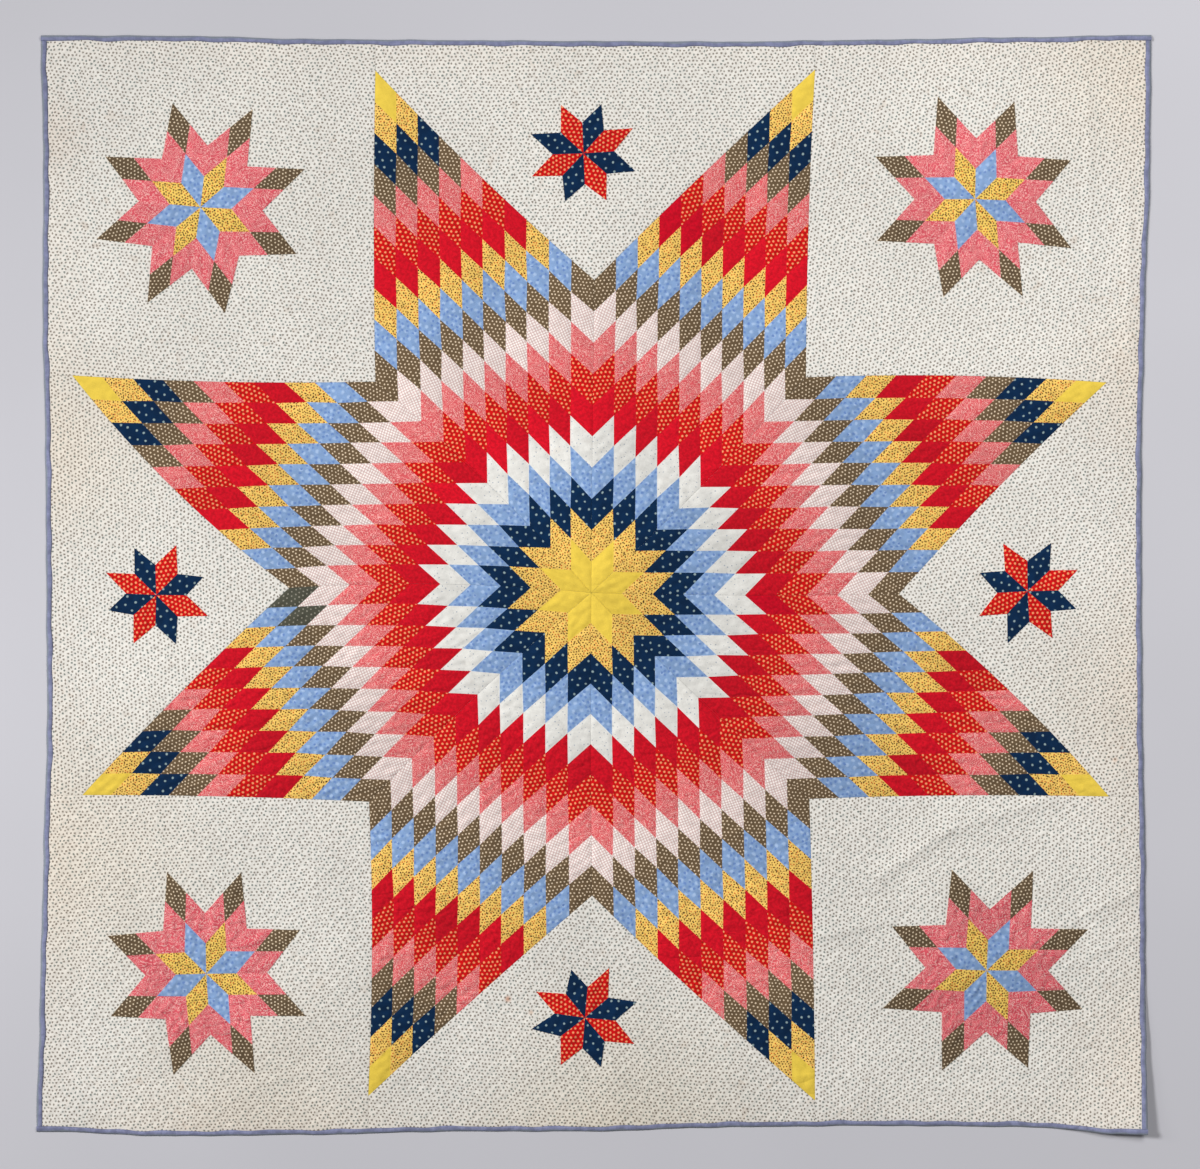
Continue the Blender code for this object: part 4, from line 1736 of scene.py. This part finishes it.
    def stitch(self) -> bpy.types.NodeTree:
        """Small stitches along both sets of quilting lines.

        Returns:
            The node group.
        """
        graph, given, result = self.start(
            Effect.STITCH, {"Quilting": "Vector", "Stitches": "Float", "Width": "Float"},
            {"Mask": "Float"})
        parts = graph.parts(given.outputs["Quilting"])
        masks = []
        for line, way in ((0, 1), (1, 0)):
            near = graph.math("PINGPONG", parts[line], 0.5)
            on_line = graph.ease(near, 0.0, given.outputs["Width"], 1.0, 0.0)
            along = graph.times(parts[way], given.outputs["Stitches"])
            dash = graph.math("PINGPONG", along, 0.5)
            masks.append(graph.times(on_line, graph.ease(dash, 0.20, 0.27)))
        graph.feed(result, {"Mask": graph.math("MAXIMUM", *masks)})
        return graph.tree

    def ageing(self) -> bpy.types.NodeTree:
        """Broad fading, and small brown age spots.

        Returns:
            The node group.
        """
        graph, given, result = self.start(Effect.AGEING, {"Place": "Vector"},
                                          {"Fade": "Float", "Foxing": "Float"})
        fade = graph.noise(given.outputs["Place"], 3.2, 3.0).outputs["Fac"]
        speck = graph.noise(given.outputs["Place"], 34.0, 2.0).outputs["Fac"]
        broad = graph.noise(given.outputs["Place"], 2.1, 1.0).outputs["Fac"]
        foxing = graph.times(graph.ease(speck, 0.62, 0.76), graph.ease(broad, 0.45, 0.65))
        graph.feed(result, {"Fade": fade, "Foxing": foxing})
        return graph.tree


@dataclass(frozen=True)
class Spots:
    """One layer of printed spots, in millimetres."""

    colour: Rgb
    pitch: float
    radius: float
    blur: float = 0.5
    wander: float = 0.3
    ragged: float = 0.15
    share: float = 1.0
    other: Rgb | None = None
    turn: float = 0.0
    shift: tuple[float, float] = (0.0, 0.0)


@dataclass(frozen=True)
class Squiggle:
    """A printed squiggle: its pitch in millimetres, and its width from 0 to 1."""

    colour: Rgb
    pitch: float
    width: float
    strength: float = 1.0


@dataclass(frozen=True)
class Lines:
    """Thin printed lines both ways, in millimetres."""

    colour: Rgb
    pitch: float
    width: float
    strength: float = 1.0


@dataclass(frozen=True)
class Stain:
    """A soft stain: its middle and radius in millimetres, and its colour and strength."""

    x: float
    y: float
    radius: float
    colour: Rgb
    strength: float


@dataclass(frozen=True)
class Finish:
    """One cotton: its colour, what is printed on it, how it has aged and its painted light and
    shade.
    """

    base: Rgb
    spots: tuple[Spots, ...] = ()
    squiggle: Squiggle | None = None
    lines: Lines | None = None
    mottle: float = 0.06
    mottle_pitch: float = 22.0
    tone: float = 0.05
    fade: float = 0.10
    foxing: float = 0.10
    roughness: float = 0.88
    thread: float = 0.00055
    crumple: float = 2.2
    quilted: bool = False
    # Colour of a binding's outer fold: its wear and lint, and painted shade on the rolled side
    worn_and_shaded: Rgb | None = None
    handled: float = 0.0
    stains: tuple[Stain, ...] = ()


GROUND_STAINS = (
    Stain(-181, -868, 11, (214, 124, 44), 0.80),
    Stain(-132, -896, 9, (220, 150, 80), 0.45),
    Stain(1094, -366, 9, (222, 150, 80), 0.50),
    Stain(1108, -340, 7, (222, 150, 80), 0.40),
    Stain(-1130, 300, 330, (226, 200, 160), 0.22),
    Stain(-1140, 940, 120, (232, 200, 176), 0.18),
    Stain(-1110, -560, 420, (222, 196, 152), 0.22),
    Stain(-700, -1120, 420, (222, 196, 152), 0.20),
    Stain(60, -1200, 460, (220, 202, 164), 0.30),
    Stain(1130, 1080, 330, (226, 196, 150), 0.20),
    Stain(1150, -250, 360, (226, 196, 158), 0.20),
    Stain(1150, 420, 260, (226, 196, 158), 0.18),
    Stain(1140, -1000, 260, (226, 196, 158), 0.14),
)
FINISHES: dict[Cloth, Finish] = {
    Cloth.YELLOW: Finish((242, 209, 80), mottle=0.05, fade=0.07),
    Cloth.GOLD: Finish(
        (252, 208, 108),
        (Spots((120, 74, 26), 6.2, 1.5, 0.6, 0.45, 0.4, 0.65, (208, 100, 40)),
         Spots((36, 32, 24), 9.6, 1.2, 0.5, 0.6, 0.4, 0.85, None, 31, (3, 5))),
    ),
    Cloth.AMBER: Finish(
        (252, 212, 106),
        (Spots((118, 70, 22), 6.2, 1.6, 0.6, 0.45, 0.4, 0.65, (204, 92, 34)),
         Spots((34, 30, 24), 9.6, 1.25, 0.5, 0.6, 0.4, 0.85, None, 31, (3, 5))),
    ),
    Cloth.NAVY: Finish((0, 38, 73), (Spots((150, 172, 174), 18.8, 2.25, 1.0, 0.24, 0.1),),
                       mottle=0.12),
    Cloth.BLUE: Finish(
        (137, 168, 212),
        (Spots((172, 198, 234), 16.5, 3.4, 2.2, 0.3, 0.3),
         Spots((110, 142, 200), 11.0, 2.6, 1.6, 0.5, 0.4, 0.7, None, 20, (4, 2))),
        mottle=0.07,
    ),
    Cloth.WHITE: Finish((233, 231, 225),
                        (Spots((176, 182, 190), 10.0, 1.1, 0.5, 0.5, 0.3, 0.5),)),
    Cloth.RED: Finish((210, 10, 34), mottle=0.16, mottle_pitch=6.0, tone=0.10, crumple=4.5),
    Cloth.CRIMSON: Finish((208, 0, 34), mottle=0.14, mottle_pitch=6.0, crumple=4.5),
    Cloth.RED_DOT: Finish(
        (213, 7, 12),
        (Spots((251, 162, 112), 9.9, 2.25, 0.8, 0.16, 0.10),
         Spots((96, 44, 22), 9.9, 1.2, 0.6, 0.20, 0.10, 1.0, None, 0, (4.95, 2.9))),
        mottle=0.10, mottle_pitch=9.0,
    ),
    Cloth.PINK: Finish((226, 94, 99), squiggle=Squiggle((252, 190, 182), 4.4, 0.8, 0.95),
                       crumple=4.0),
    Cloth.ROSE: Finish((225, 90, 102), squiggle=Squiggle((252, 194, 188), 4.4, 0.8, 0.95),
                       crumple=5.0),
    Cloth.CHECK: Finish((255, 246, 240), lines=Lines((194, 146, 142), 5.6, 1.5, 0.8)),
    Cloth.BROWN: Finish((108, 88, 64), (Spots((234, 212, 182), 8.3, 1.62, 0.7, 0.25, 0.15),)),
    Cloth.UMBER: Finish((102, 84, 62), (Spots((230, 210, 180), 8.3, 1.62, 0.7, 0.25, 0.15),)),
    Cloth.CHARCOAL: Finish((80, 80, 68), (Spots((150, 146, 132), 9.7, 1.6, 0.7, 0.2, 0.15),)),
    Cloth.GROUND: Finish(
        (241, 237, 229),
        (Spots((142, 133, 123), 8.4, 2.0, 1.1, 0.40, 0.35, 0.7, (128, 134, 128)),),
        mottle=0.03, fade=0.06, foxing=0.18, crumple=0.9, quilted=True, handled=0.20,
        stains=GROUND_STAINS,
    ),
    # The binding's outer fold is greyed for its wear and with painted shade on the rolled side
    Cloth.BINDING: Finish((138, 142, 172), lines=Lines((106, 110, 148), 3.2, 1.0, 0.5),
                          mottle=0.20, mottle_pitch=16.0, worn_and_shaded=(136, 144, 152)),
    Cloth.BACKING: Finish((226, 218, 200), mottle=0.03),
}


class ClothWorks:
    """Makes each cotton's material once."""

    bump_depth: float = 0.0004
    print_sway: float = 0.008
    weave_height: float = 0.12
    crumple_size: float = 0.034
    stitches: float = 4.0
    stitch_width: float = 0.035
    stitch_shade: float = 0.6
    stitch_height: float = 0.35
    stitch_colour: Rgb = (240, 236, 226)
    soiled_colour: Rgb = (248, 236, 226)
    foxing_colour: Rgb = (186, 140, 92)
    gloss: float = 0.18
    sheen: float = 0.04

    def __init__(self) -> None:
        """Start with no material made."""
        self.effects = EffectShop()
        self.made: dict[Cloth, bpy.types.Material] = {}

    def material(self, cloth: Cloth) -> bpy.types.Material:
        """Find or make the material of a cloth.

        Args:
            cloth: The cloth.

        Returns:
            The material.
        """
        if cloth not in self.made:
            self.made[cloth] = self.make(cloth.value, FINISHES[cloth])
        return self.made[cloth]

    def effect(self, graph: Graph, effect: Effect, inputs: Inputs) -> bpy.types.Node:
        """Place a shared effect in a material.

        Args:
            graph: The material's graph.
            effect: The effect.
            inputs: Its values.

        Returns:
            The group node.
        """
        return graph.add("ShaderNodeGroup", inputs, node_tree=self.effects.group(effect))

    def make(self, name: str, finish: Finish) -> bpy.types.Material:
        """Make one cotton.

        Args:
            name: The material's name.
            finish: What the cotton is like.

        Returns:
            The material.
        """
        material = bpy.data.materials.new(name)
        material.use_nodes = True
        graph = Graph(material.node_tree)
        shader = material.node_tree.nodes["Principled BSDF"]
        place = graph.add("ShaderNodeTexCoord", {}).outputs["Object"]
        sway = graph.vector("SUBTRACT", graph.noise(place, 13.0, 1.0).outputs["Color"],
                            (0.5, 0.5, 0.5))
        print_uv = graph.vector("ADD", graph.uv("print"), graph.scaled(sway, self.print_sway))
        colour = self.colours(graph, finish, print_uv, place)
        weave = self.effect(graph, Effect.WEAVE, {"Print": print_uv, "Thread": finish.thread})
        shade = graph.ease(weave.outputs["Shade"], 0.3, 0.7, 0.94, 1.04)
        colour = graph.shade(colour, shade)
        height = graph.times(weave.outputs["Height"], self.weave_height)
        crumple = self.effect(graph, Effect.CRUMPLE, {"Place": place, "Size": self.crumple_size})
        height = graph.plus(height, graph.times(crumple.outputs["Height"], finish.crumple))
        if finish.quilted:
            stitch = self.effect(graph, Effect.STITCH, {
                "Quilting": graph.uv("quilting"), "Stitches": self.stitches,
                "Width": self.stitch_width}).outputs[0]
            colour = graph.blend(graph.times(stitch, self.stitch_shade), colour,
                                 paint(self.stitch_colour))
            height = graph.plus(height, graph.times(stitch, self.stitch_height))
        bump = graph.add("ShaderNodeBump", {"Strength": 1.0, "Distance": self.bump_depth,
                                            "Height": height})
        rough = graph.ease(weave.outputs["Shade"], 0.3, 0.7, finish.roughness + 0.05,
                           finish.roughness - 0.05)
        graph.feed(shader, {"Base Color": colour, "Roughness": rough, "Normal": bump.outputs[0],
                            "Specular IOR Level": self.gloss, "Sheen Weight": self.sheen})
        return material

    def colours(self, graph: Graph, finish: Finish, print_uv: Socket, place: Socket) -> Socket:
        """Print, fade and stain one cotton, and paint light and shade on it.

        Args:
            graph: The material's graph.
            finish: What the cotton is like.
            print_uv: The print's coordinates.
            place: Where on the quilt.

        Returns:
            The colour.
        """
        blotch = graph.noise(print_uv, 1000 / finish.mottle_pitch, 3.0).outputs["Fac"]
        value = graph.ease(blotch, 0.3, 0.7, 1 - finish.mottle, 1 + finish.mottle)
        colour = graph.shade(paint(finish.base), value)
        for spots in finish.spots:
            colour = self.print_spots(graph, spots, print_uv, colour)
        if finish.squiggle is not None:
            squiggle = finish.squiggle
            mask = self.effect(graph, Effect.SQUIGGLE, {
                "Print": print_uv, "Pitch": squiggle.pitch * MM, "Width": squiggle.width})
            share = graph.times(mask.outputs[0], squiggle.strength)
            colour = graph.blend(share, colour, paint(squiggle.colour))
        if finish.lines is not None:
            colour = self.print_lines(graph, finish.lines, print_uv, colour)
        # Grey a binding's outer fold: wear, and painted shade on its rolled side
        if finish.worn_and_shaded is not None:
            colour = self.wear_and_shade_edge(graph, finish.worn_and_shaded, place, colour)
        # Each patch's tone: its own slight difference, with painted light and shade over whole star
        # points
        tone = graph.add("ShaderNodeAttribute", {}, attribute_name="tone").outputs["Fac"]
        ageing = self.effect(graph, Effect.AGEING, {"Place": place})
        light = graph.times_plus(tone, finish.tone, 1.0)
        fade = graph.ease(ageing.outputs["Fade"], 0.3, 0.7, -finish.fade / 2, finish.fade / 2)
        colour = graph.shade(colour, graph.plus(light, fade))
        if finish.handled:
            parts = graph.parts(place)
            out = graph.math("MAXIMUM", graph.math("ABSOLUTE", parts[0]),
                             graph.math("ABSOLUTE", parts[1]))
            out = graph.plus(out, graph.times(ageing.outputs["Fade"], 0.12))
            soiled = graph.ease(out, 1.10, 1.23, 0.0, finish.handled)
            colour = graph.blend(soiled, colour, paint(self.soiled_colour), "MULTIPLY")
        foxing = graph.times(ageing.outputs["Foxing"], finish.foxing)
        colour = graph.blend(foxing, colour, paint(self.foxing_colour), "MULTIPLY")
        for stain in finish.stains:
            colour = self.add_stain(graph, stain, place, colour)
        return colour

    def print_spots(self, graph: Graph, spots: Spots, print_uv: Socket, colour: Socket) -> Socket:
        """Print one layer of spots.

        Args:
            graph: The material's graph.
            spots: The layer.
            print_uv: The print's coordinates.
            colour: The colour under it.

        Returns:
            The colour with the spots on it.
        """
        turned = graph.add("ShaderNodeMapping", {
            "Vector": print_uv,
            "Location": (spots.shift[0] * MM, spots.shift[1] * MM, 0.0),
            "Rotation": (0.0, 0.0, math.radians(spots.turn))}).outputs[0]
        node = self.effect(graph, Effect.SPOTS, {
            "Print": turned, "Pitch": spots.pitch * MM, "Radius": spots.radius * MM,
            "Blur": spots.blur * MM, "Wander": spots.wander, "Ragged": spots.ragged})
        mask = node.outputs["Mask"]
        first = graph.math("LESS_THAN", node.outputs["Chance"], spots.share)
        if spots.other is not None:
            dye = graph.blend(first, paint(spots.other), paint(spots.colour))
            return graph.blend(mask, colour, dye)
        return graph.blend(graph.times(mask, first), colour, paint(spots.colour))

    @staticmethod
    def print_lines(graph: Graph, lines: Lines, print_uv: Socket, colour: Socket) -> Socket:
        """Print thin lines both ways.

        Args:
            graph: The material's graph.
            lines: The lines.
            print_uv: The print's coordinates.
            colour: The colour under them.

        Returns:
            The colour with the lines on it.
        """
        parts = graph.parts(print_uv)
        masks = []
        for axis in (0, 1):
            near = graph.math("PINGPONG", parts[axis], lines.pitch * MM / 2)
            masks.append(graph.ease(near, 0.0, lines.width * MM, 1.0, 0.0))
        share = graph.times(graph.math("MAXIMUM", *masks), lines.strength)
        return graph.blend(share, colour, paint(lines.colour))

    @staticmethod
    def wear_and_shade_edge(graph: Graph, worn_and_shaded: Rgb, place: Socket, colour: Socket) -> Socket:
        """Grey the outer fold of a binding: its wear and lint, and painted shade on the rolled
        side.

        Args:
            graph: The material's graph.
            worn_and_shaded: The colour of the outer fold: its wear, with painted shade.
            place: Where on the quilt.
            colour: The colour of the rest.

        Returns:
            The colour with its outer fold greyed by wear and painted shade.
        """
        across = graph.parts(graph.uv("quilting"))[1]
        patchy = graph.noise(place, 38.0, 2.0).outputs["Fac"]
        share = graph.plus(across, graph.times(patchy, 0.5))
        return graph.blend(graph.ease(share, 0.40, 0.72, 0.85, 0.0), colour, paint(worn_and_shaded))

    @staticmethod
    def add_stain(graph: Graph, stain: Stain, place: Socket, colour: Socket) -> Socket:
        """Lay one soft stain over the cloth.

        Args:
            graph: The material's graph.
            stain: The stain.
            place: Where on the quilt.
            colour: The colour under it.

        Returns:
            The stained colour.
        """
        middle = (stain.x * MM, stain.y * MM, 0.0)
        away = graph.add("ShaderNodeVectorMath", {0: place, 1: middle}, operation="DISTANCE")
        share = graph.ease(away.outputs["Value"], 0.0, stain.radius * MM, stain.strength, 0.0)
        return graph.blend(share, colour, paint(stain.colour), "MULTIPLY")


@dataclass(frozen=True)
class Lamp:
    """A round soft lamp: its name, place, power in watts and radius."""

    name: str
    place: tuple[float, float, float]
    power: float
    radius: float


@dataclass
class Studio:
    """The plain floor, the soft light and the camera straight above."""

    floor_name: str = "studio_floor"
    floor_size: float = 16.0
    floor_drop: float = 0.0002
    floor_colour: Rgb = (205, 204, 210)
    view_width: float = 2.52
    view_middle: tuple[float, float] = (0.0126, 0.0021)
    camera_height: float = 7.0
    camera_reach: float = 60.0
    film_width: float = 36.0
    sun_strength: float = 1.86
    sun_elevation: float = 40.0
    sun_azimuth: float = 158.0
    sun_softness: float = 12.0
    left_lamp: Lamp = Lamp("left_lamp", (-2.0, -0.25, 1.6), 47.0, 0.45)
    right_lamp: Lamp = Lamp("right_lamp", (2.0, 1.45, 4.0), 362.0, 0.9)
    sky_strength: float = 0.10

    def build(self) -> None:
        """Build the floor, lights and camera."""
        self.build_floor()
        self.build_lights()
        self.build_camera()
        view = bpy.context.scene.view_settings
        view.view_transform = "Standard"
        view.look = "None"
        view.exposure = 0.0
        view.gamma = 1.0

    def build_floor(self) -> None:
        """Lay the pale floor just under the quilt."""
        half = self.floor_size / 2
        corners = [(-half, -half, 0.0), (half, -half, 0.0), (half, half, 0.0), (-half, half, 0.0)]
        mesh = bpy.data.meshes.new(self.floor_name)
        mesh.from_pydata(corners, [], [(0, 1, 2, 3)])
        floor = bpy.data.objects.new(self.floor_name, mesh)
        floor.location.z = -self.floor_drop
        bpy.context.scene.collection.objects.link(floor)
        material = bpy.data.materials.new("pale_floor")
        material.use_nodes = True
        graph = Graph(material.node_tree)
        place = graph.add("ShaderNodeTexCoord", {}).outputs["Object"]
        cloud = graph.noise(place, 1.3, 2.0).outputs["Fac"]
        value = graph.ease(cloud, 0.3, 0.7, 0.985, 1.015)
        colour = graph.shade(paint(self.floor_colour), value)
        graph.feed(material.node_tree.nodes["Principled BSDF"],
                   {"Base Color": colour, "Roughness": 0.95, "Specular IOR Level": 0.1})
        mesh.materials.append(material)

    def build_lights(self) -> None:
        """Hang the soft key light on the left, the two round lamps and the even sky."""
        scene = bpy.context.scene
        sun = bpy.data.objects.new("key_light", bpy.data.lights.new("key_light", "SUN"))
        sun.data.energy = self.sun_strength
        sun.data.angle = math.radians(self.sun_softness)
        up, turn = math.radians(self.sun_elevation), math.radians(self.sun_azimuth)
        level = math.cos(up)
        source = Vector((level * math.cos(turn), level * math.sin(turn), math.sin(up)))
        sun.rotation_euler = source.to_track_quat("Z", "Y").to_euler()
        scene.collection.objects.link(sun)
        for lamp in (self.left_lamp, self.right_lamp):
            item = bpy.data.objects.new(lamp.name, bpy.data.lights.new(lamp.name, "POINT"))
            item.data.energy = lamp.power
            item.data.shadow_soft_size = lamp.radius
            item.location = lamp.place
            item.visible_camera = False
            scene.collection.objects.link(item)
        world = bpy.data.worlds.new("even_sky")
        world.use_nodes = True
        sky = world.node_tree.nodes["Background"]
        sky.inputs["Color"].default_value = (0.98, 0.99, 1.0, 1.0)
        sky.inputs["Strength"].default_value = self.sky_strength
        scene.world = world

    def build_camera(self) -> None:
        """Hang the camera straight above the quilt."""
        data = bpy.data.cameras.new("camera_above")
        data.sensor_width = self.film_width
        data.lens = data.sensor_width * self.camera_height / self.view_width
        data.clip_end = self.camera_reach
        camera = bpy.data.objects.new("camera_above", data)
        camera.location = (*self.view_middle, self.camera_height)
        bpy.context.scene.collection.objects.link(camera)
        bpy.context.scene.camera = camera


def build_quilt() -> None:
    """Build and hand over every piece of the quilt, then the studio round it."""
    plan, works, studio = QuiltPlan(), ClothWorks(), Studio()
    studio.build()
    bands = {side: Binding(plan, works).build(side) for side in Side}
    ground = Ground(plan, works)
    for index, star in enumerate(APPLIED_STARS):
        sides = [bands[Side(index // 2)].item] if index % 2 == 0 else []
        panel = ground.build(index, sides, studio.floor_name)
        panel.hand_over()
        AppliedStars(plan, works).build(star, panel.item.name).hand_over()
    star_points = BigStar(plan, works)
    for index in range(ARMS):
        point = star_points.build(index)
        point.rests_on = [studio.floor_name]
        point.hand_over()
    for band in bands.values():
        band.hand_over()


def main() -> None:
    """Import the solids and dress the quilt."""
    logging.basicConfig(level=logging.INFO, format="%(name)s: %(message)s")
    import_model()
    build_quilt()


if __name__ == "__main__":
    main()
